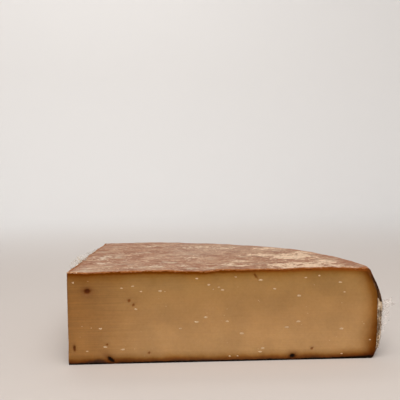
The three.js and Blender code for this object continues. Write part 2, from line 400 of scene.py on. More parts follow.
def swing(tree, value, reach):
    """Noise from 0 to 1 turned into a swing of about reach to either side of nothing."""
    return arithmetic(tree, "MULTIPLY", arithmetic(tree, "SUBTRACT", value, 0.5), 4 * reach)


def stored_value(tree, name):
    """A number that the mesh stores for each of its points."""
    return add_node(tree, "Attribute", attribute_name=name).outputs["Fac"]


def wavering(tree, name, wander):
    """A stored number plus a swing of noise, so that its borders don't run straight."""
    return arithmetic(tree, "ADD", stored_value(tree, name), wander)


print("noise seldom passes 0.75, so a swing of reach 1 seldom passes", 4 * (0.75 - 0.5))

# %% Helpers for colours
def mix(tree, share, first, second, blend="MIX"):
    """Blends two colours, by a share or by another way such as MULTIPLY."""
    made = add_node(tree, "Mix", data_type="RGBA", blend_type=blend)
    set_inputs(tree, [made.inputs[0], made.inputs[6], made.inputs[7]], (share, first, second))
    return made.outputs[2]


def tinted(tree, colour, filter_colour):
    """A colour seen through a filter: the two multiplied."""
    return mix(tree, 1.0, colour, filter_colour, "MULTIPLY")


def shaded(tree, colour, amount):
    """A colour made darker or lighter by one amount near 1."""
    grey = add_node(tree, "CombineColor", {"Red": amount, "Green": amount, "Blue": amount})
    return tinted(tree, colour, grey.outputs[0])


def overlaid(tree, colour, *layers):
    """Lays colours over a first one in turn. Each layer is a value, where on it the layer
    begins, where it is full, its greatest share, and its colour."""
    for value, begins, full, share, top_colour in layers:
        colour = mix(tree, remap(tree, value, begins, full, 0.0, share), colour, top_colour)
    return colour


def ramp(tree, value, *stops):
    """A row of colours along a value, each stop a position from 0 to 1 and a colour."""
    made = add_node(tree, "ValToRGB", {"Fac": value})
    row = made.color_ramp.elements
    while len(row) < len(stops):
        row.new(0.5)
    for element, (position, colour) in zip(row, stops):
        element.position, element.color = position, colour
    return made.outputs[0]


def bump(tree, height, depth_mm, strength=1.0):
    """Tilts the shading as if the height, 0 to 1, stood depth_mm high."""
    inputs = {"Height": height, "Distance": depth_mm * MM, "Strength": strength}
    return add_node(tree, "Bump", inputs).outputs[0]


print("materials so far:", len(bpy.data.materials))

# %% [markdown]
# Light and backdrop
#
# A round sweep of pale paper, floor and wall in one, has no corner to show in any view.
# It is a profile turned about the vertical. A broad lamp in front, a weaker one above
# and a pale sky give the soft light of the photograph, and a third lamp behind the
# cheese lights only the wall, as a studio does to keep the backdrop bright. The paper is
# a little darker where it lies near the lamps, so that it doesn't burn out there.

# %% The sweep of paper
FLOOR_REACH, SWEEP_RADIUS, WALL_TOP = 2200.0, 900.0, 2300.0
UNDER_LAMPS = (0, -1.2, 0)  # metres, as all of Blender's own coordinates are
DARK_WITHIN, PALE_BEYOND = 1.5, 3.6  # metres from there
quarter = np.linspace(0, math.pi / 2, 25)
round_r, round_z = FLOOR_REACH + SWEEP_RADIUS * np.sin(quarter), SWEEP_RADIUS * (1 - np.cos(quarter))
profile_r = np.concatenate([[0, FLOOR_REACH / 2], round_r, [FLOOR_REACH + SWEEP_RADIUS]])
profile_z = np.concatenate([[0, 0], round_z, [WALL_TOP]])
around = np.linspace(0, 2 * math.pi, 97)[:, None]
sweep_x, sweep_y = np.cos(around) * profile_r, np.sin(around) * profile_r
sweep_points = np.stack([sweep_x, sweep_y, 0 * around + profile_z], -1)
sweep_numbers = np.arange(sweep_x.size).reshape(sweep_x.shape)
sweep_faces = grid_faces(sweep_numbers, flip=True)
sweep = add_object("paper_sweep", sweep_points.reshape(-1, 3) - corner, sweep_faces)
paper, tree = new_material("pale_paper")
place = add_node(tree, "TexCoord").outputs["Object"]
from_front = add_node(tree, "VectorMath", {"Vector": place}, operation="DISTANCE")
from_front.inputs[1].default_value = UNDER_LAMPS
far_off = remap(tree, from_front.outputs["Value"], DARK_WITHIN, PALE_BEYOND)
paper_colour = mix(tree, far_off, paint(204, 195, 188), paint(236, 234, 232))
finish_material(tree, Base_Color=paper_colour, Roughness=0.9)
sweep.data.materials.append(paper)

# %% The lamps
def add_lamp(name, place, aim, size, power, colour):
    """A square area lamp in metres, turned from its place towards the point aim."""
    data = bpy.data.lights.new(name, "AREA")
    data.size, data.energy, data.color = size, power, colour
    made = bpy.data.objects.new(name, data)
    bpy.context.scene.collection.objects.link(made)
    facing = (Vector(place) - Vector(aim)).to_track_quat("Z", "Y").to_matrix().to_4x4()
    made.matrix_world = Matrix.Translation(place) @ facing
    print(name, "of", power, "watts")


add_lamp("lamp_above", (0.0, -0.8, 1.6), (0.0, 0.0, 0.0), 1.5, 16, (1.0, 0.98, 0.96))
add_lamp("lamp_front", (-0.2, -2.3, 1.4), (0.0, 0.0, 0.05), 1.8, 36, (1.0, 0.98, 0.95))
add_lamp("lamp_backdrop", (-0.4, 1.4, 2.2), (-0.4, 2.9, 0.3), 1.6, 18, (1.0, 0.99, 0.98))

# %% The sky
SKY_COLOUR, SKY_STRENGTH = (0.93, 0.93, 0.95, 1), 0.38
world = bpy.data.worlds.new("pale_sky")
world.use_nodes = True
background = world.node_tree.nodes["Background"]
background.inputs["Color"].default_value = SKY_COLOUR
background.inputs["Strength"].default_value = SKY_STRENGTH
bpy.context.scene.world = world
bpy.context.scene.view_settings.view_transform = "Standard"
print("sky at", SKY_STRENGTH, "of full strength, shown with the plain view of colours")

# %% [markdown]
# The cheese itself
#
# One closed mesh stands for the whole piece, because the real thing is one. It is the
# box map again on a much finer grid: close rows along the edges, where crumbs and the
# rind's rim need them, and even rows of about two millimetres elsewhere.

# %% A closed grid over the box
BY_THE_CUT = [0, 0.0015, 0.0035, 0.006, 0.009, 0.0125, 0.0165]  # shares of the box's plan
EVEN_SHARES, OVER_SHOULDER = np.linspace(0.021, 0.889, 122), np.linspace(0.889, 1, 11)[1:]
ACROSS = np.concatenate([BY_THE_CUT, EVEN_SHARES, OVER_SHOULDER])
AT_THE_FOOT = [0, 0.4, 0.9, 1.6, 2.4, 3.4, 4.8, 6.6]  # heights in millimetres
AT_THE_TOP = [93, 94.4, 95.6, 96.6, 97.5, 98.3, 99, 99.6, 100.1, EDGE_HEIGHT]
LEVELS = np.concatenate([AT_THE_FOOT, np.linspace(8.5, 91.5, 46), AT_THE_TOP])


def box_skin(columns, rows):
    """Numbers the points on a box grid's six sides and lists their faces, pointing out.
    Neighbouring sides use the same points along their edge, so the skin is closed."""
    i, j, k = np.meshgrid(range(columns), range(columns), range(rows), indexing="ij")
    last, top = columns - 1, rows - 1
    on_skin = (i == 0) | (i == last) | (j == 0) | (j == last) | (k == 0) | (k == top)
    number = np.cumsum(on_skin).reshape(on_skin.shape) - 1
    cuts = np.concatenate([grid_faces(number[:, 0, :]), grid_faces(number[0, :, :], flip=True)])
    flats = [grid_faces(number[:, :, top]), grid_faces(number[:, :, 0], flip=True)]
    heel = [grid_faces(number[last, :, :]), grid_faces(number[:, last, :], flip=True)]
    return i[on_skin], j[on_skin], k[on_skin], cuts, np.concatenate(flats + heel)


i, j, k, cut_faces, rind_faces = box_skin(len(ACROSS), len(LEVELS))
a, b, level = ACROSS[i], ACROSS[j], LEVELS[k]
x, y, z, turn = piece_at(a, b, level)
on_long_cut, on_short_cut = j == 0, i == 0
on_heel = np.maximum(a, b) == 1
on_top, on_bottom = k == len(LEVELS) - 1, k == 0
print("skin of", len(x), "points")

# %% [markdown]
# Holes and cracks in the long cut
#
# The cut opens a few small holes and cracks. Each is a smooth dent in the grid. The grid
# would be too coarse for one, so its points are first drawn towards the hole's middle,
# as cloth gathers round a button, and then pushed in. Some are black with mould and
# others only rusty, which a second stored number tells the material. Their dark insides
# are also painted shade in the hollows.

# %% Draw the grid together and push it in
EYES = [  # along the cut, height, width, height of the hole, depth, slant, blackness
    (22.1, 81.2, 6.2, 4.8, 2.8, 0.0, 0.55),
    (7.1, 18.3, 2.6, 6.6, 1.8, -0.1, 0.5),
    (66.8, 70.9, 2.4, 3.0, 1.0, 0.4, 0.12),
    (72.7, 65.2, 2.2, 3.2, 1.0, 0.3, 0.12),
    (46.9, 4.6, 5.2, 6.8, 2.6, -0.8, 1.0),
    (248.1, 4.4, 6.0, 4.6, 2.6, 0.0, 1.0),
    (207.8, 94.7, 2.0, 7.0, 1.4, -0.6, 0.15),
    (270, 12.5, 2.4, 2.4, 1.1, 0.0, 0.15),
    (43, 21.8, 2.2, 1.8, 0.8, 0.0, 0.2),
    (89, 11.5, 2.2, 2.4, 0.9, 0.0, 0.1),
]
GATHER_REACH, GATHER_SHARE = 7.0, 0.68
HALO_REACH, BLACK_REACH = 2.4, 3  # in half widths of the hole
eye_share, eye_halo, eye_black = np.zeros_like(x), np.zeros_like(x), np.zeros_like(x)
inside_cut = on_long_cut & ~on_top & ~on_bottom & (i > 0) & ~on_heel
for along, up, wide, tall, deep, slant, black in EYES:
    away = np.hypot(x - along, z - up)
    pull = np.where(inside_cut, 1 - GATHER_SHARE * np.exp(-((away / GATHER_REACH) ** 2)), 1)
    x, z = along + (x - along) * pull, up + (z - up) * pull
    leaning = (x - along) - slant * (z - up)
    off_centre = np.hypot(leaning / (wide / 2), (z - up) / (tall / 2))
    dent = np.where(inside_cut, np.exp(-(off_centre**3) * 0.8), 0)
    y = y + deep * dent
    eye_share = np.maximum(eye_share, dent)
    halo = np.exp(-((off_centre / HALO_REACH) ** 2)) * min(1, (wide / 5) ** 2)
    eye_halo = np.maximum(eye_halo, np.where(on_long_cut, halo, 0))
    eye_black = np.maximum(eye_black, black * np.exp(-((off_centre / BLACK_REACH) ** 2)))
print("holes and cracks:", len(EYES))

# %% [markdown]
# Fine relief
#
# The rind is dry and grainy, pitted where mites and brushes have worked. The cuts are
# smoother, with shallow bands where the knife went through in strokes. The rind breaks
# rather than cuts, so the upper edges are ragged, and every other edge is a little worn.

# %% Rind and cuts
RIGHT_SWELL = 1.3  # the upper rind stands a little higher towards the heel's right half
RIM_RISES = [(92, 44, 1.9), (170, 13, 0.8)]  # so does its long edge: along, half width, height
RIM_RISE_BACK = 16  # how far back from the edge they die out


def knife_strokes(along, z, layer):
    """Shallow bands along a cut: noise drawn out along the knife's way, plus a finer one."""
    return 0.09 * relief(along / 90, z / 5, layer) + 0.05 * layered(along / 14, z / 7, layer + 2, 2)


def rim_rise(x, y):
    """Low swells of the long upper edge: bell curves along it, dying out behind it."""
    bells = [height * np.exp(-(((x - middle) / half) ** 2)) for middle, half, height in RIM_RISES]
    return sum(bells) * np.exp(-np.maximum(y, 0) / RIM_RISE_BACK)


grain = 0.22 * layered(x / 11, y / 11, 21) - 0.35 * smooth(ridged(x / 16, y / 16, 25), 0.72, 1)
heel_grain = 0.3 * layered(turn * 30, z / 10, 23) - 0.3 * smooth(ridged(turn * 22, z / 13, 26), 0.75, 1)
edge_of_top = np.minimum(np.where(on_top, np.minimum(x, y), 99), 30)
z = z + np.where(on_top, grain * smooth(edge_of_top, 0, 3), 0)
swell = RIGHT_SWELL * np.exp(-(((x - 265) / 75) ** 2) - ((y - 165) / 70) ** 2)
z = z + swell * smooth(level, 60, EDGE_HEIGHT) + rim_rise(x, y) * smooth(level, 94, EDGE_HEIGHT)
half_wave = np.sin(math.pi * np.clip(level / THICKNESS, 0, 1)) ** 0.5
side_share = np.where(on_heel & ~on_top & ~on_bottom, half_wave, 0)
x = x + heel_grain * np.cos(turn) * side_share
y = y + heel_grain * np.sin(turn) * side_share
inside_side = on_short_cut & ~on_top & ~on_bottom & (j > 0) & ~on_heel
y = y + np.where(inside_cut, knife_strokes(x, z, 41), 0)
x = x + np.where(inside_side, knife_strokes(y, z, 45), 0)
print("grain of the rind from", grain.min().round(2), "to", grain.max().round(2), "mm")

# %% [markdown]
# Edges
#
# The upper edges are the first thing the eye runs along. The crust has splintered there,
# so the rows of points next to them are lifted, dropped and pushed in and out by fine
# noise. The lower edges and the corner of the two cuts have only been rubbed round, and a
# smooth fall that dies out within a millimetre or two does that.

# %% Ragged upper edges
RAGGED_REACH = 1.3  # millimetres in from the edge
near_rim = np.exp(-np.minimum(x, y) / RAGGED_REACH) * on_top
ragged = 0.3 * layered(x / 4.5, y / 4.5, 51, 3) + 0.4 * smooth(relief(x / 17, y / 17, 53), 0.1, 0.9)
z = z + near_rim * ragged
rim_wave = 0.3 * layered(x / 6, y / 6, 55, 3)
y = y + np.where(on_top & on_long_cut, rim_wave, 0)
x = x + np.where(on_top & on_short_cut, rim_wave, 0)
print("upper edges ragged by up to", np.abs(near_rim * ragged).max().round(2), "mm")

# %% Worn lower edges and worn corner of the two cuts
BOTTOM_WEAR, BOTTOM_WEAR_REACH = 1.5, 1.1
CORNER_WEAR, CORNER_WEAR_REACH = 1.1, 0.9
low_edge = np.where(on_bottom, 1.0, np.exp(-level / BOTTOM_WEAR_REACH))
y = y + np.where(on_long_cut, BOTTOM_WEAR * low_edge * (0.8 + 0.4 * relief(x / 21, 0 * x, 57)), 0)
x = x + np.where(on_short_cut, BOTTOM_WEAR * low_edge * (0.8 + 0.4 * relief(y / 21, 0 * y, 58)), 0)
along_long, along_short = np.maximum(x, 0), np.maximum(y, 0)
y = y + np.where(on_long_cut, CORNER_WEAR * np.exp(-along_long / CORNER_WEAR_REACH), 0)
x = x + np.where(on_short_cut, CORNER_WEAR * np.exp(-along_short / CORNER_WEAR_REACH), 0)
z = np.maximum(z, 0)
print("lower edge pushed in by up to", round(BOTTOM_WEAR * 1.2, 2), "mm")

# %% [markdown]
# One mesh that knows its distances
#
# A material could guess where the rind is from the height alone, but then it would miss
# the round heel and the broken edges. So each point stores how far it is from the upper
# rind, the heel, the floor and the corner of the cuts, and the two materials below read
# these numbers by name. Stains and mould are stored the same way.

# %% Put the mesh together
def rind_strip(z):
    """How much of the long cut's far edge is bevelled rind, widest at the fullest height:
    a constant and a bell curve, fading out near the floor."""
    return (4.6 + 2.0 * np.exp(-(((z - 52) / 16) ** 2))) * smooth(z, -10, 32)


STAINS = [  # darker paste by the edges: along, height, half width, half height, strength
    (344, 12, 21, 36, 1.0),
    (345, 0, 60, 14, 1.0),
    (338, 92, 9, 9, 0.6),
    (0, 62, 5, 30, 0.4),
]
SIDE_PACE, SIDE_MOST = 0.7, 45.0  # how from_corner rises on the short cut, and where it stops
skin_points = np.stack([x, y, z], -1)
cheese = add_object("cheese_piece", skin_points, cut_faces, rind_faces)
from_top = top_height(x, y) + top_relief(x, y) + swell + rim_rise(x, y) - z
heel_turn = np.arctan2(y, x - PAST_CENTRE)
from_heel = heel_radius(z) + heel_offset(heel_turn, z) - np.hypot(x - PAST_CENTRE, y)
add_values(cheese, "from_top", from_top)
add_values(cheese, "from_heel", from_heel)
add_values(cheese, "from_strip", from_heel - np.where(y < 30, rind_strip(z), 0))
add_values(cheese, "from_bottom", z)
side_from_corner = np.minimum(SIDE_PACE * y, SIDE_MOST)
add_values(cheese, "from_corner", np.where(on_short_cut & (j > 0), side_from_corner, x))
add_values(cheese, "from_rim", np.where(on_top, np.maximum(0, np.minimum(x, y)), 30))
stain = np.zeros_like(x)
for along, up, half_x, half_z, strength in STAINS:
    spread = ((x - along) / half_x) ** 2 + ((z - up) / half_z) ** 2
    stain = np.maximum(stain, np.where(on_long_cut, strength * np.exp(-spread), 0))
add_values(cheese, "stain", stain)
mould = np.exp(-(((x - 31) / 13) ** 4)) + 0.7 * smooth(relief(x / 17, 0 * x, 95), 0.0, 0.8)
add_values(cheese, "mould", np.where(on_long_cut, mould * np.exp(-np.maximum(z, 0) / 3.4), 0))
add_values(cheese, "eye", eye_share)
add_values(cheese, "halo", eye_halo)
add_values(cheese, "black", eye_black)
print("cheese box", skin_points.min(0).round(1), skin_points.max(0).round(1))

# %% [markdown]
# Bloom on the rind
#
# The rind is rosy brown, and a pale bloom lies over it in patches with ragged edges. The
# largest patches are named here by place and size, so that they lie where the real
# ones do. Noise breaks up their borders in the material.

# %% Patches of pale bloom
BLOOM = [  # x, y, half width, half depth, strength
    (21, 120, 20, 16, 0.7),
    (31, 70, 13, 9, 0.7),
    (67, 36, 8, 6, 0.8),
    (99, 44, 12, 14, 0.5),
    (80, 240, 18, 12, 0.6),
    (14, 23, 9, 18, 0.45),
    (149, 230, 36, 14, 0.6),
    (138, 108, 12, 22, 0.5),
    (122, 44, 14, 16, 0.5),
    (144, 21, 12, 9, 0.65),
    (177, 52, 16, 12, 0.75),
    (196, 76, 18, 8, 0.75),
    (200, 38, 13, 8, 0.75),
    (229, 124, 22, 13, 0.8),
    (184, 204, 24, 12, 0.6),
    (268, 104, 28, 30, 1.0),
    (265, 25, 44, 24, 1.0),
    (297, 51, 15, 20, 0.95),
    (310, 5, 14, 9, 0.6),
    (253, 188, 26, 17, 0.8),
    (291, 134, 17, 22, 0.85),
]
bloom = np.zeros_like(x)
for centre_x, centre_y, half_x, half_y, strength in BLOOM:
    spread = ((x - centre_x) / half_x) ** 2 + ((y - centre_y) / half_y) ** 2
    bloom = np.maximum(bloom, strength * np.exp(-(spread**1.5) * 0.7))
add_values(cheese, "bloom", np.where(on_top, bloom, 0.35))
print("patches of bloom:", len(BLOOM))

# %% [markdown]
# The paste
#
# The cut paste is a warm tan that darkens to orange brown towards any rind, where the
# cheese has dried. One flat colour or an even gradient would look like plastic. So the
# colour follows the stored distances: a ramp of browns for the depth under the upper
# rind, and two ramps of filters that darken it towards the heel and the lower rind.
# Noise makes each distance waver.

# %% Colour by the depth under each rind
GRADIENT_DEPTH = 75.0  # millimetres of paste over which the colour still lightens
SIDE_DEPTH = 20.0  # the same for the heel
LOW_DEPTH = 13.0  # and for the lower rind
paste, tree = new_material("cheese_paste")
fine_wander = swing(tree, noise(tree, 6, 3), 0.7)
wide_wander = swing(tree, noise(tree, 30, 2, shift=3), 2.6)
wander = arithmetic(tree, "ADD", fine_wander, wide_wander)
top_depth = stored_value(tree, "from_top")
depth = arithmetic(tree, "MULTIPLY_ADD", wander, remap(tree, top_depth, 2, 12), top_depth)
colour = ramp(
    tree,
    arithmetic(tree, "DIVIDE", depth, GRADIENT_DEPTH),
    (0.0, paint(105, 57, 10)),
    (0.03, paint(115, 69, 18)),
    (0.067, paint(129, 88, 37)),
    (0.12, paint(140, 102, 52)),
    (0.213, paint(146, 109, 61)),
    (0.4, paint(150, 112, 65)),
    (0.7, paint(158, 119, 73)),
    (1.0, paint(166, 127, 81)),
)
side_depth = arithmetic(tree, "MULTIPLY_ADD", wander, 0.7, stored_value(tree, "from_strip"))
dried = ramp(
    tree,
    arithmetic(tree, "DIVIDE", side_depth, SIDE_DEPTH),
    (0.0, (0.46, 0.305, 0.12, 1)),
    (0.2, (0.63, 0.46, 0.24, 1)),
    (0.4, (0.81, 0.72, 0.56, 1)),
    (0.6, (0.91, 0.87, 0.78, 1)),
    (1.0, (1, 1, 1, 1)),
)
low_depth = arithmetic(tree, "MULTIPLY_ADD", wander, 0.6, stored_value(tree, "from_bottom"))
scorched = ramp(
    tree,
    arithmetic(tree, "DIVIDE", low_depth, LOW_DEPTH),
    (0.14, (0.25, 0.14, 0.07, 1)),
    (0.3, (0.36, 0.21, 0.11, 1)),
    (0.41, (0.5, 0.34, 0.17, 1)),
    (0.5, (0.64, 0.52, 0.33, 1)),
    (0.62, (0.78, 0.71, 0.58, 1)),
    (0.78, (0.89, 0.86, 0.8, 1)),
    (1.0, (1, 1, 1, 1)),
)
colour = tinted(tree, tinted(tree, colour, scorched), dried)
print("paste darkens over", GRADIENT_DEPTH, SIDE_DEPTH, "and", LOW_DEPTH, "mm under its rinds")

# %% Clouds, painted shade and light, and knife streaks
from_corner = stored_value(tree, "from_corner")
# Painted shade: the left end of the cut is tinted darker, where less light falls.
left_shade_share = wavering(tree, "from_corner", swing(tree, noise(tree, 26, 3, shift=12), 9))
left_painted_shade = tinted(tree, colour, (0.715, 0.585, 0.38, 1))
colour = overlaid(tree, colour, (left_shade_share, 105, 0, 1, left_painted_shade))
colour = shaded(tree, colour, remap(tree, noise(tree, 30, 4, shift=9), 0.3, 0.7, 0.91, 1.08))
# Painted light: the paste is made a little lighter towards the right, where more light falls.
colour = shaded(tree, colour, remap(tree, from_corner, 170, 300, 1.0, 1.02))
colour = shaded(tree, colour, remap(tree, noise(tree, 2.4, 3, shift=4), 0.25, 0.75, 0.965, 1.035))
streak_mask = arithmetic(tree, "MAXIMUM", remap(tree, from_corner, 40, 110, 1, 0), 0.3)
streaks = swing(tree, noise(tree, 1.7, 2, stretch=(45, 45, 1), shift=6), 0.11)
colour = shaded(tree, colour, arithmetic(tree, "MULTIPLY_ADD", streaks, streak_mask, 1.0))
print("paste so far:", len(tree.nodes), "nodes")

# %% [markdown]
# Where the paste meets the rind
#
# Next to the upper rind the paste is nearly crust, whose dark line is partly painted
# shade under the rind's lip. By the lower rind it is black brown, with blots of mould,
# and its black line at the foot is partly painted contact shadow, widest at the right
# end. Stains reach in from the far edge, where the bevelled rind begins. Each of these
# is a colour laid over the paste where a stored number passes a limit. The holes get
# theirs last: rust brown, or black where mould has settled, and partly painted shade.

# %% Borders, mould, stains and painted shadow
# The dark line under the upper rind is the crust's colour and partly painted shade under the rind's lip.
crust_and_shade_line = wavering(tree, "from_top", fine_wander)
crust_and_shade_colour = mix(tree, remap(tree, from_corner, 150, 320), paint(98, 47, 0), paint(128, 68, 22))
# The black line at the foot is dark lower rind and partly painted contact shadow; towards the right end
# it is widened into painted shadow under the lifted foot.
foot_rind_and_shadow = wavering(tree, "from_bottom", fine_wander)
foot_rind_and_shadow = arithmetic(tree, "SUBTRACT", foot_rind_and_shadow, remap(tree, from_corner, 285, 335, 0, 1.3))
colour = overlaid(
    tree,
    colour,
    (crust_and_shade_line, 4.4, 1.8, 0.95, crust_and_shade_colour),
    (stored_value(tree, "mould"), 0.12, 0.5, 0.8, paint(48, 32, 24)),
    (foot_rind_and_shadow, 2.6, 1.4, 1, paint(31, 22, 16)),
)
stain_share = wavering(tree, "stain", swing(tree, noise(tree, 9, 4, shift=18), 0.1))
stain_colour = tinted(tree, colour, (0.55, 0.38, 0.12, 1))
strip_line = wavering(tree, "from_strip", fine_wander)
strip_streaks = remap(tree, noise(tree, 1.6, 3, stretch=(1, 1, 6), shift=14), 0.4, 0.7)
strip_colour = mix(tree, strip_streaks, paint(50, 28, 13), paint(104, 76, 54))
strip_colour = overlaid(tree, strip_colour, (top_depth, 11, 3, 1, paint(98, 52, 16)))
colour = overlaid(
    tree,
    colour,
    (stain_share, 0.05, 1.0, 0.9, stain_colour),
    (strip_line, 0.7, -1.4, 1, strip_colour),
)
print("paste so far:", len(tree.nodes), "nodes")

# %% Colour of the holes, and painted shade inside them
blackness, in_hole = stored_value(tree, "black"), stored_value(tree, "eye")
halo_share = arithmetic(tree, "MULTIPLY", stored_value(tree, "halo"), 0.65)
colour = mix(tree, halo_share, colour, paint(98, 50, 12))
# Painted shade: each hole is darkened inside, from rust brown to black with mould by the stored
# blackness, which also stands for the shade in the hollow.
hole_colour_and_shade = mix(tree, blackness, paint(104, 38, 3), paint(23, 18, 13))
hole_shade_share = arithmetic(tree, "MULTIPLY_ADD", blackness, 0.45, 0.58)
hole_shade_share = arithmetic(tree, "MULTIPLY", hole_shade_share, remap(tree, in_hole, 0.05, 0.75))
colour = mix(tree, hole_shade_share, colour, hole_colour_and_shade)
print("paste so far:", len(tree.nodes), "nodes")

# %% [markdown]
# The paste's surface
#
# Fresh paste is waxy: it has a faint shine, and a little light passes into it and comes
# out again, which the subsurface share gives. It is dull where it has dried near a rind
# and inside the holes. The finest knife lines are too shallow for the mesh, so a bump
# stands for them.

# %% Gloss and finish of the paste
hole_dulling = remap(tree, in_hole, 0.0, 0.5, 1.0, 0.1)
dry_depth = arithmetic(tree, "MINIMUM", arithmetic(tree, "MINIMUM", side_depth, low_depth), depth)
gloss = arithmetic(tree, "MULTIPLY", hole_dulling, remap(tree, dry_depth, 1, 14, 0.02, 0.2))
knife_lines = noise(tree, 1.3, 1, stretch=(70, 70, 1), shift=8)
surface = arithmetic(tree, "MULTIPLY_ADD", knife_lines, streak_mask, noise(tree, 1.1, 3, shift=2))
finish_material(
    tree,
    Base_Color=colour,
    Roughness=remap(tree, noise(tree, 5, 2, shift=1), 0.3, 0.7, 0.5, 0.65),
    Normal=bump(tree, surface, 0.12, 0.6),
    Specular_IOR_Level=gloss,
    Subsurface_Weight=0.15,
    Subsurface_Radius=(0.004, 0.0018, 0.0007),
    Subsurface_Scale=1.0,
)
print("paste:", len(tree.nodes), "nodes")

# %% [markdown]
# The rind
#
# Three scales of noise give it its look: clouds of redder and greyer brown some
# centimetres across, blots of pale bloom of about a centimetre, and specks of a
# millimetre or two. The heel has less bloom and is a much darker brown. Near the cuts
# the rind has broken, and its edge is orange brown.

# %% Clouds, blots and veins
rind, tree = new_material("cheese_rind")
clouds = noise(tree, 34, 4, shift=5)
blots = noise(tree, 7, 5, stretch=(1.5, 1.1, 1), shift=11, roughness=0.68)
grey_patches = noise(tree, 12, 5, stretch=(2.2, 1.2, 1), shift=15, roughness=0.6)
veins = noise(tree, 4, 4, stretch=(1.6, 1.6, 1), shift=25, roughness=0.65)
colour = ramp(
    tree,
    clouds,
    (0.34, paint(144, 97, 71)),
    (0.5, paint(163, 118, 91)),
    (0.66, paint(177, 140, 112)),
)
colour = overlaid(
    tree,
    colour,
    (blots, 0.47, 0.34, 0.65, paint(138, 86, 56)),
    (blots, 0.52, 0.66, 0.8, paint(212, 182, 154)),
    (grey_patches, 0.53, 0.66, 0.65, paint(196, 176, 152)),
    (stored_value(tree, "from_rim"), 60, 190, 0.2, paint(214, 196, 174)),
    (veins, 0.43, 0.32, 0.6, paint(136, 84, 54)),
)
print("rind so far:", len(tree.nodes), "nodes")

# %% Bloom, flecks and specks
specks = noise(tree, 2.4, 4, stretch=(1.2, 2.0, 1), shift=2, roughness=0.7)
flecks = noise(tree, 3.4, 3, stretch=(1.2, 1.6, 1), shift=21, roughness=0.6)
ragged_blots = noise(tree, 8, 5, stretch=(1.1, 1.2, 1), shift=31, roughness=0.68)
rightness = remap(tree, stored_value(tree, "from_corner"), 90, 230)
colour = mix(tree, rightness, colour, tinted(tree, colour, (0.9, 0.84, 0.79, 1)))
bloom_share = wavering(tree, "bloom", swing(tree, ragged_blots, 0.9))
bloom_share = arithmetic(tree, "ADD", bloom_share, swing(tree, specks, 0.35))
bloom_colour = mix(tree, rightness, paint(206, 184, 160), paint(221, 191, 161))
colour = overlaid(
    tree,
    colour,
    (bloom_share, 0.42, 0.85, 0.92, bloom_colour),
    (flecks, 0.62, 0.72, 0.8, paint(230, 208, 180)),
)
colour = shaded(tree, colour, remap(tree, specks, 0.25, 0.75, 0.8, 1.16))
print("rind so far:", len(tree.nodes), "nodes")

# %% Edges, heel and finish of the rind
heel_share = wavering(tree, "from_top", swing(tree, blots, 4.0))
heel_colour = ramp(
    tree, blots, (0.3, paint(60, 36, 22)), (0.52, paint(88, 56, 36)), (0.72, paint(136, 100, 74))
)
colour = overlaid(
    tree,
    colour,
    (wavering(tree, "from_rim", swing(tree, specks, 1.6)), 9.0, 0.4, 0.75, paint(148, 92, 56)),
    (wavering(tree, "from_heel", swing(tree, specks, 3.0)), 7.0, 1.0, 0.6, paint(160, 100, 62)),
    (heel_share, 1.5, 8.0, 1.0, heel_colour),
)
pits = arithmetic(tree, "MULTIPLY_ADD", specks, 1.2, noise(tree, 0.9, 3, shift=3))
finish_material(
    tree,
    Base_Color=colour,
    Roughness=remap(tree, blots, 0.3, 0.7, 0.72, 0.9),
    Normal=bump(tree, pits, 0.5, 0.8),
    Specular_IOR_Level=0.25,
)
print("rind:", len(tree.nodes), "nodes")

# %% [markdown]
# Two finishes on one mesh
#
# Cuts and rind belong to one solid thing, so they stay one mesh, and each face says which
# of the two materials it wears. Edges sharper than fifty degrees stay crisp.

# %% Dress the cheese
cheese.data.materials.append(paste)
cheese.data.materials.append(rind)
which = np.concatenate([np.zeros(len(cut_faces), np.int32), np.ones(len(rind_faces), np.int32)])
cheese.data.polygons.foreach_set("material_index", which)
cheese.data.set_sharp_from_angle(angle=math.radians(50))
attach(cheese, "root")
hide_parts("cheese")
print("faces of paste", len(cut_faces), "and of rind", len(rind_faces))

# %% [markdown]
# The broken rim
#
# Where the knife left through the crust, the crust has crumbled. A thin uneven roll lies
# along both upper edges, half sunk in the cheese. It is a tube whose radius swings with
# noise, and only its outer half shows as a ragged orange-brown lip.

# %% The path along the two upper edges
CORNER_INDEX, SIDE_STEPS = 429, 360  # path points up to the corner of the cuts, and after it
RIM_FROM, RIM_TO = 0.985, 0.995  # where it starts and ends, as shares of the two cuts
rim_a = np.concatenate([np.linspace(RIM_FROM, 0, CORNER_INDEX + 1), np.zeros(SIDE_STEPS)])
rim_b = np.concatenate([np.zeros(CORNER_INDEX + 1), np.linspace(0, RIM_TO, SIDE_STEPS + 1)[1:]])
rim_x, rim_y, rim_z, _ = piece_at(rim_a, rim_b, EDGE_HEIGHT + 0 * rim_a)
rim_z = rim_z + rim_rise(rim_x, rim_y)
path = np.stack([rim_x, rim_y, rim_z], -1)
step = np.linalg.norm(np.diff(path, axis=0), axis=1)
run = np.concatenate([[0], np.cumsum(step)])[:, None]
ahead = np.gradient(path, axis=0)
outward = np.stack([-ahead[:, 1], ahead[:, 0]], -1)
outward = outward / np.linalg.norm(outward, axis=1, keepdims=True)
print("upper edges:", float(run[-1, 0].round(1)), "mm")

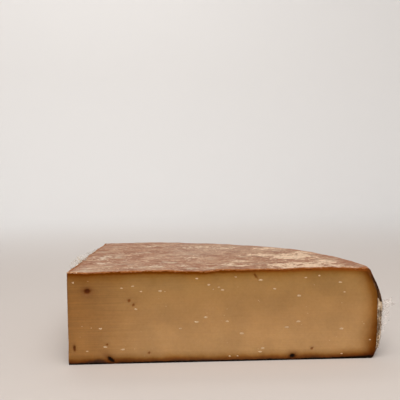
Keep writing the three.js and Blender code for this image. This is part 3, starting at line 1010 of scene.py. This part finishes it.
# %% The uneven tube round the path
RIM_AROUND = 14
HALF_WIDE, HALF_HIGH = 1.5, 1.3
SUNK_SIDE, SUNK_DOWN = -1.25, -0.7
SIDE_THINNER = 0.75  # the short cut's edge has crumbled less
angle = np.linspace(0, 2 * math.pi, RIM_AROUND + 1)[:-1][None, :]
lumps = 1 + 0.34 * relief(run / 2.3 + np.cos(angle), 1.3 * np.sin(angle) + 5, 81)
lumps = lumps + 0.3 * relief(run / 7 + 0.6 * np.cos(angle), 0.7 * np.sin(angle) + 9, 83)
lumps = np.minimum(lumps, 1.3)
ends = smooth(run, 0, 4) * smooth(run[-1] - run, 0, 14)
ends = np.maximum(ends, 0.03) * (1 - 0.5 * np.exp(-(((run - run[CORNER_INDEX]) / 3.5) ** 2)))
thick = np.where(np.arange(len(path))[:, None] > CORNER_INDEX, SIDE_THINNER, 1.0)
side_reach = HALF_WIDE * thick * lumps * ends * np.cos(angle)
rise = HALF_HIGH * thick * lumps * ends * np.sin(angle)
ring_x = path[:, :1] + outward[:, :1] * (side_reach + SUNK_SIDE)
ring_y = path[:, 1:2] + outward[:, 1:] * (side_reach + SUNK_SIDE)
ring_z = path[:, 2:] + rise + SUNK_DOWN + 0.25 * relief(run / 11, 0 * run, 85)
rim_points = np.stack([ring_x, ring_y, ring_z], -1)
rim_ends = rim_points[[0, -1]].mean(1)
rim_points = np.concatenate([rim_points.reshape(-1, 3), rim_ends])
rim_crust = add_object("rim_crust", rim_points, *tube_faces(len(path), RIM_AROUND))
add_values(rim_crust, "lift", np.concatenate([(np.sin(angle) + 0 * run).ravel(), [0, 0]]))

# %% [markdown]
# The crust's colour
#
# Broken crust is darkest underneath, where it joins the paste, and paler and drier on
# top. The tube stores how far up its own round each point lies, and a ramp of four
# browns follows that, with pale crumbs let in by noise.

# %% Crust material and finish
crust, tree = new_material("broken_crust")
crumbly = noise(tree, 1.8, 3, roughness=0.6)
lift = wavering(tree, "lift", swing(tree, noise(tree, 3.5, 3, shift=7), 0.35))
colour = ramp(
    tree,
    arithmetic(tree, "MULTIPLY_ADD", lift, 0.5, 0.5),
    (0.2, paint(96, 44, 2)),
    (0.38, paint(116, 60, 14)),
    (0.56, paint(136, 77, 34)),
    (0.8, paint(152, 98, 59)),
)
colour = overlaid(tree, colour, (crumbly, 0.62, 0.74, 0.6, paint(214, 166, 118)))
finish_material(
    tree,
    Base_Color=colour,
    Roughness=0.85,
    Normal=bump(tree, crumbly, 0.4, 0.8),
    Specular_IOR_Level=0.06,
)
rim_crust.data.materials.append(crust)
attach(rim_crust, "root")
print("crust:", len(tree.nodes), "nodes")

# %% [markdown]
# Crystals and crumbs
#
# Long ripening leaves white crystals in the paste. They are small uneven grains, sunk in
# the cut and standing out a fraction of a millimetre. The brightest have a place of
# their own, and a seeded random draw scatters the rest over both cuts. The crumbs on the
# rim are made the same way.

# %% Uneven grains as one joined mesh
GRAIN_AROUND, GRAIN_RINGS = 10, 5


def add_grains(name, centres, halves, seed):
    """Uneven balls in one mesh: a unit sphere over a grid of two angles, times each
    ball's three half widths and a lumpy radius of its own."""
    draw = np.random.default_rng(seed)
    circle = np.linspace(0, 2 * math.pi, GRAIN_AROUND + 1)[:-1]
    down = np.linspace(0, math.pi, GRAIN_RINGS + 2)[1:-1]
    ring, circle = np.meshgrid(down, circle, indexing="ij")
    ball = np.stack([np.sin(ring) * np.cos(circle), np.sin(ring) * np.sin(circle), -np.cos(ring)], -1)
    ball = np.concatenate([ball.reshape(-1, 3), [[0, 0, -1], [0, 0, 1]]])
    lumps = draw.uniform(0.72, 1.2, (len(centres), len(ball), 1))
    points = centres[:, None, :] + ball * lumps * halves[:, None, :]
    sides, caps = tube_faces(GRAIN_RINGS, GRAIN_AROUND)
    first = np.arange(len(centres))[:, None, None] * len(ball)
    sides, caps = (sides + first).reshape(-1, 4), (caps + first).reshape(-1, 3)
    return add_object(name, points.reshape(-1, 3), sides, caps)


print("a grain has", GRAIN_AROUND * GRAIN_RINGS + 2, "points")

# %% Crystals on both cuts
CRYSTALS = [  # along the long cut, height, half width
    (7, 91, 1.3), (72, 86, 1.7), (81, 80, 1.4), (102, 80, 1.8), (143, 93, 1.4), (156, 86, 1.5),
    (167, 83, 1.4), (171, 80, 1.8), (186, 94, 1.3), (214, 90, 2.0), (264, 92, 1.6), (279, 94, 1.4),
    (302, 86, 2.1), (307, 75, 1.3), (256, 72, 2.4), (75, 60.5, 2.0), (36, 39.5, 1.8), (124, 38, 1.7),
    (142, 45, 2.6), (176, 45, 1.8), (192, 31, 3.2), (255, 43, 2.2), (242, 37, 2.1), (303, 34, 2.3),
    (41, 19, 2.3), (60, 16, 2.4), (215, 14, 1.9), (212, 10, 2.4), (303, 6, 1.2), (335, 21, 1.0),
    (152, 50, 2.0), (60, 84, 1.6), (229, 80, 1.6), (21, 15, 1.2), (178, 6, 1.3), (187, 6, 1.1),
]
SHOWING = 1.25  # each is made this much wider than it looks, because it lies half sunk
TALLEST_HALF = 1.15  # and a wide one lies flat, as the paste was pressed
CRYSTAL_SUNK, CRYSTAL_HALF_DEPTH = 0.1, 0.2
MORE_IN_FRONT, ON_THE_SIDE = 34, 75
draw = np.random.default_rng(7)


def scattered(count, along, half_width):
    """Random rows like those of CRYSTALS: each number drawn evenly from its range."""
    return np.stack([draw.uniform(*ends, count) for ends in (along, (8, 94), half_width)], -1)


more = scattered(MORE_IN_FRONT, (12, 330), (0.35, 0.8))
side = scattered(ON_THE_SIDE, (10, 290), (0.5, 1.9))
front = np.concatenate([np.array(CRYSTALS) * (1, 1, SHOWING), more])
(front_x, front_z, front_wide), (side_y, side_z, side_wide) = front.T, side.T
front_y = knife_wave(front_x, front_z, 6) + knife_strokes(front_x, front_z, 41)
side_x = SHORT_CUT_SLANT * side_y - knife_wave(side_y, side_z, 7) + knife_strokes(side_y, side_z, 45)
front_centres = np.stack([front_x, front_y + CRYSTAL_SUNK, front_z], -1)
side_centres = np.stack([side_x + CRYSTAL_SUNK, side_y, side_z], -1)
centres = np.concatenate([front_centres, side_centres])
flat = draw.uniform(0.36, 0.66, len(centres))
tall = np.minimum(np.concatenate([front_wide, side_wide]) * flat, TALLEST_HALF)
front_deep, side_deep = np.full(len(front), CRYSTAL_HALF_DEPTH), np.full(len(side), CRYSTAL_HALF_DEPTH)
front_half = np.stack([front_wide, front_deep, tall[: len(front)]], -1)
side_half = np.stack([side_deep, side_wide, tall[len(front) :]], -1)
crystals = add_grains("crystals", centres, np.concatenate([front_half, side_half]), 11)

# %% Crumbs along the rim
CRUMBS, ON_LONG_CUT = 240, 0.62  # how many, and the long cut's share of them
CROWDING = 2.2  # a power that crowds them towards the corner of the two cuts
along_cut = CORNER_INDEX - CORNER_INDEX * draw.uniform(0, 1, CRUMBS) ** CROWDING
along_side = CORNER_INDEX + 0.95 * SIDE_STEPS * draw.uniform(0, 1, CRUMBS)
where = np.where(np.arange(CRUMBS) < ON_LONG_CUT * CRUMBS, along_cut, along_side).astype(int)
where = np.clip(where, 0, len(path) - 1)
spot = path[where]
set_back = draw.uniform(-0.2, 2.4, CRUMBS)
size = draw.uniform(0.22, 0.7, CRUMBS)
crumb_xy = spot[:, :2] - outward[where] * set_back[:, None]
crumb_centres = np.column_stack([crumb_xy, spot[:, 2] + draw.uniform(-0.4, 0.35, CRUMBS)])
crumb_halves = size[:, None] * draw.uniform(0.7, 1.3, (CRUMBS, 3))
crumbs = add_grains("rim_crumbs", crumb_centres, crumb_halves, 13)

# %% [markdown]
# The grains' finish
#
# A crystal is a little clearer than the paste round it, so some light passes into it. A
# crumb is dry crust or dry paste, which is why its colour runs from brown to cream.

# %% Grain materials and finish
crystal, tree = new_material("crystal_grain")
colour = ramp(tree, noise(tree, 1.6, 2), (0.3, paint(172, 138, 99)), (0.7, paint(202, 172, 137)))
finish_material(
    tree,
    Base_Color=colour,
    Roughness=0.45,
    Subsurface_Weight=0.2,
    Subsurface_Radius=(0.002, 0.0015, 0.001),
    Subsurface_Scale=1.0,
)
crumb, tree = new_material("crumb_grain")
colour = ramp(
    tree,
    noise(tree, 5, 2, shift=9),
    (0.38, paint(146, 86, 44)),
    (0.52, paint(184, 132, 90)),
    (0.66, paint(228, 192, 150)),
)
finish_material(
    tree,
    Base_Color=colour,
    Roughness=0.75,
    Normal=bump(tree, noise(tree, 0.7, 2), 0.2),
    Specular_IOR_Level=0.25,
)
for piece, finish in ((crystals, crystal), (crumbs, crumb)):
    piece.data.materials.append(finish)
    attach(piece, "root")
print("crystals:", len(centres), "and crumbs:", CRUMBS)

# %% [markdown]
# Cling film
#
# The film is far thinner than a hair, so what shows is its creases. Crumpled film falls
# into flat facets with straight creases between them, and cells round random points have
# just that pattern. The wrap is the box map once more, a little outside the piece, over
# the heel and the short cut.

# %% Facets of crumpled film
JITTER = 0.45  # how far a lattice point strays, in shares of the lattice's step
CREASE_WIDTH = 0.12  # in the same shares


def facets(s, t, layer):
    """Cells round the jittered points of a lattice: the distance to the nearest point, and
    how much further the second nearest is, which is nothing on the border of two cells."""
    i, j = np.floor(s), np.floor(t)
    nearest, second = np.full(s.shape, 9.0), np.full(s.shape, 9.0)
    for di in (-1, 0, 1):
        for dj in (-1, 0, 1):
            point_s = i + di + 0.5 + JITTER * lattice_height(i + di, j + dj, layer)
            point_t = j + dj + 0.5 + JITTER * lattice_height(i + di, j + dj, layer + 0.5)
            away = np.hypot(s - point_s, t - point_t)
            second = np.minimum(second, np.maximum(nearest, away))
            nearest = np.minimum(nearest, away)
    return nearest, second - nearest


def crumple(s, t, size, layer, octaves=3):
    """Creased film as a sum of ever finer facets: the height, 0 to about 1, and how near
    the nearest crease is, 1 on it."""
    height, crease = np.zeros_like(s), np.zeros_like(s)
    for octave in range(octaves):
        finer = 1.9**octave / size
        nearest, past = facets(s * finer + 7 * octave, t * finer, layer + octave)
        height = height + 0.5**octave * (1 - nearest) / 1.6
        crease = np.maximum(crease, 0.7**octave * np.exp(-((past / CREASE_WIDTH) ** 2)))
    return height, crease


sample_height, sample_crease = crumple(np.ones(1), np.ones(1), 5, 1)
print("at one point, height", sample_height.round(2), "and crease", sample_crease.round(2))

# %% Thin closed sheets
FILM_THICKNESS = 0.06


def thin_sheet(name, points, thickness, values):
    """A closed thin sheet from one grid of points: the grid itself and a copy of it moved
    in along its normals, joined round the border by narrow faces."""
    normal = np.cross(np.gradient(points, axis=0), np.gradient(points, axis=1))
    normal /= np.maximum(np.linalg.norm(normal, axis=-1, keepdims=True), 1e-9)
    both = np.concatenate([points.reshape(-1, 3), (points - normal * thickness).reshape(-1, 3)])
    front = np.arange(points[..., 0].size).reshape(points.shape[:2])
    back = front + front.size
    rim = np.concatenate([front[:, 0], front[-1, 1:], front[-2::-1, -1], front[0, -2::-1]])
    border = grid_faces(np.stack([rim, rim + front.size], -1), flip=True)
    faces = np.concatenate([grid_faces(front), grid_faces(back, flip=True), border])
    made = add_object(name, both, faces)
    add_values(made, "fold", np.concatenate([values.ravel(), values.ravel()]))
    return made


print("film", FILM_THICKNESS, "mm thick")

# %% [markdown]
# The wrap
#
# The wrap runs from the long cut's far end round the heel, turns the back corner and
# comes down the short cut. Its upper edge climbs from two thirds of the height to just
# under the rim. It stands off by a few tenths of a millimetre, and more where its
# creases lift it. A simulation could crumple a sheet too, but it would take minutes and
# put the creases somewhere else each time.

# %% The wrap's path and edges
WRAP_LENGTH = 850.0
FILM_LOWEST, FILM_HIGHEST = 9.0, 97.0
UPPER_EDGE_RIGHT, UPPER_EDGE_LEFT = 66.0, 95.0
EDGE_WAVE, EDGE_WAVE_LENGTH = 2.5, 31


def wrap_path(share):
    """The box's plan point for a share of the way round: up one side of the heel, back
    along the other, then down the short cut."""
    leg = share * 3
    a = np.clip(2 - leg, 0, 1)
    b = np.where(leg < 2, np.clip(leg, 0, 1), np.clip(3 - leg, 0, 1))
    return a, b


share, up = np.meshgrid(np.linspace(0.0006, 0.9975, 640), np.linspace(0, 1, 48), indexing="ij")
path_a, path_b = wrap_path(share)
path_x, path_y, _, _ = piece_at(path_a, path_b, 50.0 + 0 * share)
wave_x, wave_y = path_x / EDGE_WAVE_LENGTH, path_y / EDGE_WAVE_LENGTH
rising = smooth(np.arctan2(path_y, path_x - PAST_CENTRE), 0.15, 0.9)
upper = UPPER_EDGE_RIGHT + (UPPER_EDGE_LEFT - UPPER_EDGE_RIGHT) * rising
upper = upper + EDGE_WAVE * relief(wave_x, wave_y, 8) + 1.2 * layered(share * 160, 0 * share, 61)
upper = np.minimum(upper, FILM_HIGHEST)
lower = FILM_LOWEST + EDGE_WAVE * np.abs(relief(wave_x, wave_y, 9))
print("the film is", (upper - lower).min().round(1), "to", (upper - lower).max().round(1), "mm high")

# %% The wrap over the heel and the short cut
film_level = lower + (upper - lower) * up
film_run = share * WRAP_LENGTH
fine_height, fine_crease = crumple(film_run, film_level, 12, 63, 2)
wide_height, wide_crease = crumple(film_run / 1.8, film_level + film_run / 9, 34, 67, 2)
creased = smooth(relief(film_run / 60, film_level / 40, 65), -0.2, 0.7)
fold = 0.22 * wide_crease + creased * (0.15 + 0.2 * fine_crease)
fold = fold + 0.08 * smooth(share, 0.66, 0.6)  # a little whiter over the heel
off_the_end = smooth((1 - share) * WRAP_LENGTH, 8, 45)
rest = 0.3 + (1.5 * wide_height + 0.6 * fine_height * creased) * off_the_end
wrap_x, wrap_y, wrap_z, _ = piece_at(path_a, path_b, film_level, rest)
film_wrap = thin_sheet("film_wrap", np.stack([wrap_x, wrap_y, wrap_z], -1), FILM_THICKNESS, fold)

# %% [markdown]
# Loose flaps of film
#
# Pulled loose, the film stands out from the cheese in crumpled flaps. Each flap is a
# grid from its root in the wrap out to its free edge, moved sideways by creases that
# open towards the free edge, as the pleats of a fan do.

# %% Flap on the short cut's upper edge
FLAP_FROM, FLAP_TO = 40.0, 236.0  # along the short cut
FLAP_ROOT, FLAP_RISE, FLAP_REACH = 90.0, 14.5, 12.0  # height, and how far up and out it goes
out, along = np.meshgrid(np.linspace(0, 1, 22), np.linspace(0, 1, 230), indexing="ij")
taper = np.sin(math.pi * (0.06 + 0.88 * along**0.7)) * (0.85 + 0.15 * relief(along * 7, 0 * along, 13))
back = FLAP_FROM + (FLAP_TO - FLAP_FROM) * along
flap_height, flap_crease = crumple(back, out * 12 + back / 8, 17, 71, 2)
flap_x = SHORT_CUT_SLANT * back - 0.9 - out * FLAP_REACH * taper + 1.0 * out * (flap_height - 0.5)
flap_y = back + out * 2.2 * relief(along * 13, 0 * along + 2, 13) + 0.8 * out * flap_height
flap_z = FLAP_ROOT + FLAP_RISE * out * (0.75 + 0.25 * taper) + 0.8 * out * (flap_height - 0.7)
flap_points = np.stack([flap_x, flap_y, flap_z], -1)
whitened = smooth(relief(back / 14, out * 3, 73), -0.6, 0.5)
whitened = 1.3 * whitened * (np.exp(-(((back - 84) / 40) ** 2)) * smooth(out, 1.02, 0.6))
flap_value = (0.15 + 0.45 * flap_crease + whitened) * (0.2 + 0.8 * smooth(along, 1.0, 0.82))
film_flap_left = thin_sheet("film_flap_left", flap_points, FILM_THICKNESS, flap_value)

# %% [markdown]
# Film folded over the edge
#
# Between the flap and the rind a narrow band of film has folded over the upper edge of
# the short cut and sticks to the rind. Its cross section goes up the cut, round a small
# quarter circle and in over the rind, and its width swells where the film is gathered.

# %% Film folded over the short cut's upper edge
EDGE_BEND = 2.0  # radius of the cross section's quarter circle
over, along = np.meshgrid(np.linspace(0, 1, 16), np.linspace(0, 1, 200), indexing="ij")
edge_back = 24 + 206 * along
gathered = 3.2 * np.exp(-(((edge_back - 99) / 22) ** 2))
edge_width = 0.5 + gathered + 0.8 * smooth(relief(edge_back / 12, 0 * along, 97))
edge_top = top_height(0 * along, edge_back) + top_relief(0 * along, edge_back) + 1.0
bent = np.clip((over - 0.45) * 4, 0, 1) * math.pi / 2
edge_x = SHORT_CUT_SLANT * edge_back - 1.1 - 0.4 * np.sin(over * math.pi)
edge_x = edge_x + EDGE_BEND * (1 - np.cos(bent)) + edge_width * np.clip((over - 0.7) / 0.3, 0, 1)
edge_z = edge_top - 8 * np.clip((0.45 - over) / 0.45, 0, 1) - EDGE_BEND * (1 - np.sin(bent))
edge_z = edge_z + 0.3 * relief(edge_back / 6, over * 3, 99)
edge_points = np.stack([edge_x, edge_back, edge_z], -1)
edge_value = 0.95 * smooth(over, 0.1, 0.5) * (0.75 + 0.35 * relief(edge_back / 8, over * 4, 101))
edge_value = edge_value * smooth(over, 1.0, 0.85) * smooth(along, 0, 0.08) * smooth(along, 1, 0.8)
film_edge = thin_sheet("film_edge", edge_points[::-1], FILM_THICKNESS, edge_value[::-1])

# %% [markdown]
# Flaps beside the long cut
#
# Two flaps stand out from the heel where the wrap ends. Seen from the front they are the
# tuft at the right end. The lower one is clear and narrow, and the upper one fans out and
# is whiter towards its crumpled tip.

# %% Flaps on the heel beside the long cut
def heel_flap(name, at_turn, low, high, reach, flutter, layer, opacity, lean, white_tip):
    """A sheet that stands out from the heel at one turn round the wheel, from low to high:
    radius = the heel's profile plus a tapering reach, then a sideways sway by creases,
    which open like a fan, and a lift that leans the lower part upwards."""
    out, up = np.meshgrid(np.linspace(0, 1, 34), np.linspace(0, 1, 80), indexing="ij")
    flap_level = low + (high - low) * up
    taper = (0.06 + 0.94 * smooth(up, 0, 0.62)) * (0.85 + 0.2 * relief(up * 5, 0 * up, layer))
    radius = heel_radius(flap_level) + 0.6 + out * reach * taper
    height, crease = crumple(up * 42 - out * 9, out * 7, 11, layer + 60, 2)
    sway = out * (flutter * relief(up * 6, out * 2, layer) + 1.9 * (height - 0.7))
    flap_x = PAST_CENTRE + radius * math.cos(at_turn) - sway * math.sin(at_turn)
    flap_y = radius * math.sin(at_turn) + sway * math.cos(at_turn)
    flap_z = flap_level + out * (3 * relief(up * 3, 0 * up + 4, layer) + 1.0 * height)
    flap_z = flap_z + lean * out * (1 - up)
    tip = white_tip * smooth(out, 0.7, 0.95) * smooth(up, 0.45, 0.7)
    values = np.maximum(np.maximum(0.65 * crease, opacity), tip)
    return thin_sheet(name, np.stack([flap_x, flap_y, flap_z], -1), FILM_THICKNESS, values)


HEEL_FLAPS = [  # turn, lowest, highest, reach, flutter, noise layer, opacity, lean, white tip
    (0.018, 12, 62, 11.0, 3.0, 11, 0.12, 0, 0),
    (0.05, 34, 62, 19.0, 4.5, 12, 0.0, 17, 0.45),
]
heel_flaps = [heel_flap(f"film_flap_right_{number}", *row) for number, row in enumerate(HEEL_FLAPS, 1)]

# %% [markdown]
# Film over the bevelled rind
#
# Beside the long cut the wrap comes forward over the worn edge of the rind and sticks
# there in small creases. Seen from the front it is a whitish mottled strip.

# %% The lap
LAP_LOWEST, LAP_HIGHEST, LAP_CLIMB = 11, 60, 7  # its top climbs from the heel to the cut
across, up = np.meshgrid(np.linspace(0, 1, 18), np.linspace(0, 1, 110), indexing="ij")
lap_top = LAP_HIGHEST + LAP_CLIMB * across + 1.8 * relief(across * 5, 0 * across, 105)
lap_level = LAP_LOWEST + (lap_top - LAP_LOWEST) * up
lap_height, lap_crease = crumple(across * 8, lap_level, 6, 91)
lap_width = rind_strip(lap_level) + 0.5
heel_x = PAST_CENTRE + heel_radius(lap_level) + heel_offset(0 * up, lap_level)
bevel_share = np.clip(1 - across * lap_width / BEVEL_WIDTH, 0, 1)
lap_x = heel_x + 0.5 - across * lap_width
lap_y = RIND_BEVEL * np.minimum(1, lap_level / BEVEL_FULL) * bevel_share - 0.25 - 0.7 * lap_height
lap_patch = smooth(relief(lap_level / 6, across * 1.5, 93), -0.3, 0.8)
lap_value = 0.32 + 0.3 * lap_patch + 0.75 * smooth(lap_level, 52, 58) + 0.2 * lap_crease
lap_value = lap_value + 0.2 * smooth(across, 0.35, 0.1) * smooth(lap_level, 44, 36)
bright_border = 0.8 * np.exp(-(((across - 0.93) / 0.06) ** 2))
lap_value = np.maximum(lap_value, bright_border)
lap_points = np.stack([lap_x, lap_y, lap_level], -1)
film_lap = thin_sheet("film_lap", lap_points[::-1], FILM_THICKNESS, lap_value[::-1])

# %% [markdown]
# How clear film looks
#
# Clear film is nearly invisible where it lies flat. What shows are long wrinkles, finer
# ones between them, and places where it lies double or is bunched up. So the material
# is a see-through plastic whose opacity is the sum of those signs. The wrinkles are the
# lines where a drawn-out noise crosses its middle value, and the shine breaks up over
# cells, as it does over the flat facets of crumpled film. One recipe makes four
# finishes. Film that sticks to the rind or lies on the greasy cut has taken on their
# colour, and the loose flaps are greyer and rougher than the wrap.

# %% Cells and wrinkles
def cells(tree, size, stretch, shift):
    """Cells about size millimetres across, as the distance to their wandering borders."""
    place = add_node(tree, "TexCoord").outputs["Object"]
    scale = [1 / (size * MM * part) for part in stretch]
    inputs = {"Vector": place, "Scale": scale, "Location": (shift, shift, shift)}
    moved = add_node(tree, "Mapping", inputs).outputs[0]
    wander = add_node(tree, "TexNoise", {"Vector": moved, "Scale": 0.9, "Detail": 2.0}).outputs["Color"]
    bent = add_node(tree, "VectorMath", {"Vector": moved}, operation="ADD")
    tree.links.new(wander, bent.inputs[1])
    inputs = {"Vector": bent.outputs[0], "Scale": 1.0}
    return add_node(tree, "TexVoronoi", inputs, feature="DISTANCE_TO_EDGE").outputs["Distance"]


def wrinkles(tree, size, drawn_out, tilt, shift, width):
    """Long wavy lines, 1 on the line: where noise drawn out along one slanting way
    crosses its middle value, within a width."""
    place = add_node(tree, "TexCoord").outputs["Object"]
    inputs = {
        "Vector": place,
        "Scale": (size * MM * drawn_out, size * MM * drawn_out, size * MM),
        "Rotation": (tilt, tilt, 0.0),
        "Location": (shift, shift, shift),
    }
    moved = add_node(tree, "Mapping", inputs, vector_type="TEXTURE").outputs[0]
    wave = add_node(tree, "TexNoise", {"Vector": moved, "Scale": 1.0, "Detail": 3.0}).outputs["Fac"]
    off_middle = arithmetic(tree, "ABSOLUTE", arithmetic(tree, "SUBTRACT", wave, 0.5))
    return remap(tree, off_middle, 0.0, width, 1.0, 0.0)


WRINKLES = {  # millimetres, how drawn out, tilt, shift, half width of a line
    "rising": (13, 4.0, 0.55, 0.3, 0.022),
    "falling": (16, 5.0, -0.4, 0.5, 0.02),
    "fine": (4, 2.0, 0.2, 0.7, 0.04),
}
print("wrinkles of", len(WRINKLES), "kinds, drawn out", *(row[1] for row in WRINKLES.values()), "times")

# %% Four finishes of film
def film_finish(name, dim, bright, gloss, rough=0.16):
    """Clear film: nearly see-through, whiter on its wrinkles and where it lies double. Its
    opacity is the sum of its wrinkles, its doubled patches and the mesh's own folds."""
    film, tree = new_material(name)
    rising, falling, fine = [wrinkles(tree, *row) for row in WRINKLES.values()]
    broken = remap(tree, noise(tree, 18, 3, shift=19), 0.42, 0.6)
    haze = wavering(tree, "fold", swing(tree, noise(tree, 4, 3, shift=7), 0.12))
    lines = arithmetic(tree, "MAXIMUM", arithmetic(tree, "MULTIPLY", rising, broken), falling)
    fine_seen = arithmetic(tree, "MULTIPLY", fine, remap(tree, haze, 0.0, 0.5, 0.05, 0.3))
    seen = arithmetic(tree, "MULTIPLY_ADD", lines, 0.3, fine_seen)
    double = remap(tree, noise(tree, 55, 2, shift=23), 0.52, 0.535, 0.0, 0.09)
    seen = arithmetic(tree, "ADD", seen, double)
    seen = arithmetic(tree, "ADD", seen, remap(tree, haze, 0.05, 1.6, 0.0, 0.9))
    wide_cells, fine_cells = cells(tree, 24, (1.3, 1.3, 0.8), 2), cells(tree, 9, (0.8, 0.8, 1.5), 5)
    facet_height = arithmetic(tree, "MULTIPLY_ADD", wide_cells, 2.5, fine_cells)
    facet_height = arithmetic(tree, "MULTIPLY_ADD", lines, 0.4, facet_height)
    finish_material(
        tree,
        Base_Color=overlaid(tree, dim, (noise(tree, 3, 2, shift=17), 0.35, 0.65, 1.0, bright)),
        Roughness=rough,
        Specular_IOR_Level=gloss,
        Alpha=remap(tree, seen, 0.0, 1.0, 0.02, 0.75),
        Normal=bump(tree, facet_height, 1.2, 0.6),
    )
    print(name, len(tree.nodes), "nodes")
    return film


film = film_finish("clear_film", paint(208, 199, 190), paint(246, 240, 235), 0.6)
stuck_film = film_finish("stuck_film", paint(176, 144, 110), paint(224, 204, 178), 0.25)
greasy_film = film_finish("greasy_film", paint(218, 196, 168), paint(252, 236, 214), 0.5)
loose_film = film_finish("loose_film", paint(200, 189, 182), paint(234, 226, 220), 0.4, 0.4)

# %% Dress the film
finishes = [(film_lap, stuck_film), (film_edge, greasy_film), (film_flap_left, greasy_film)]
finishes += [(film_wrap, film), *((flap, loose_film) for flap in heel_flaps)]
for piece, finish in finishes:
    piece.data.materials.append(finish)
    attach(piece, "root")
    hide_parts("cling_film")
print("film pieces:", len(finishes))
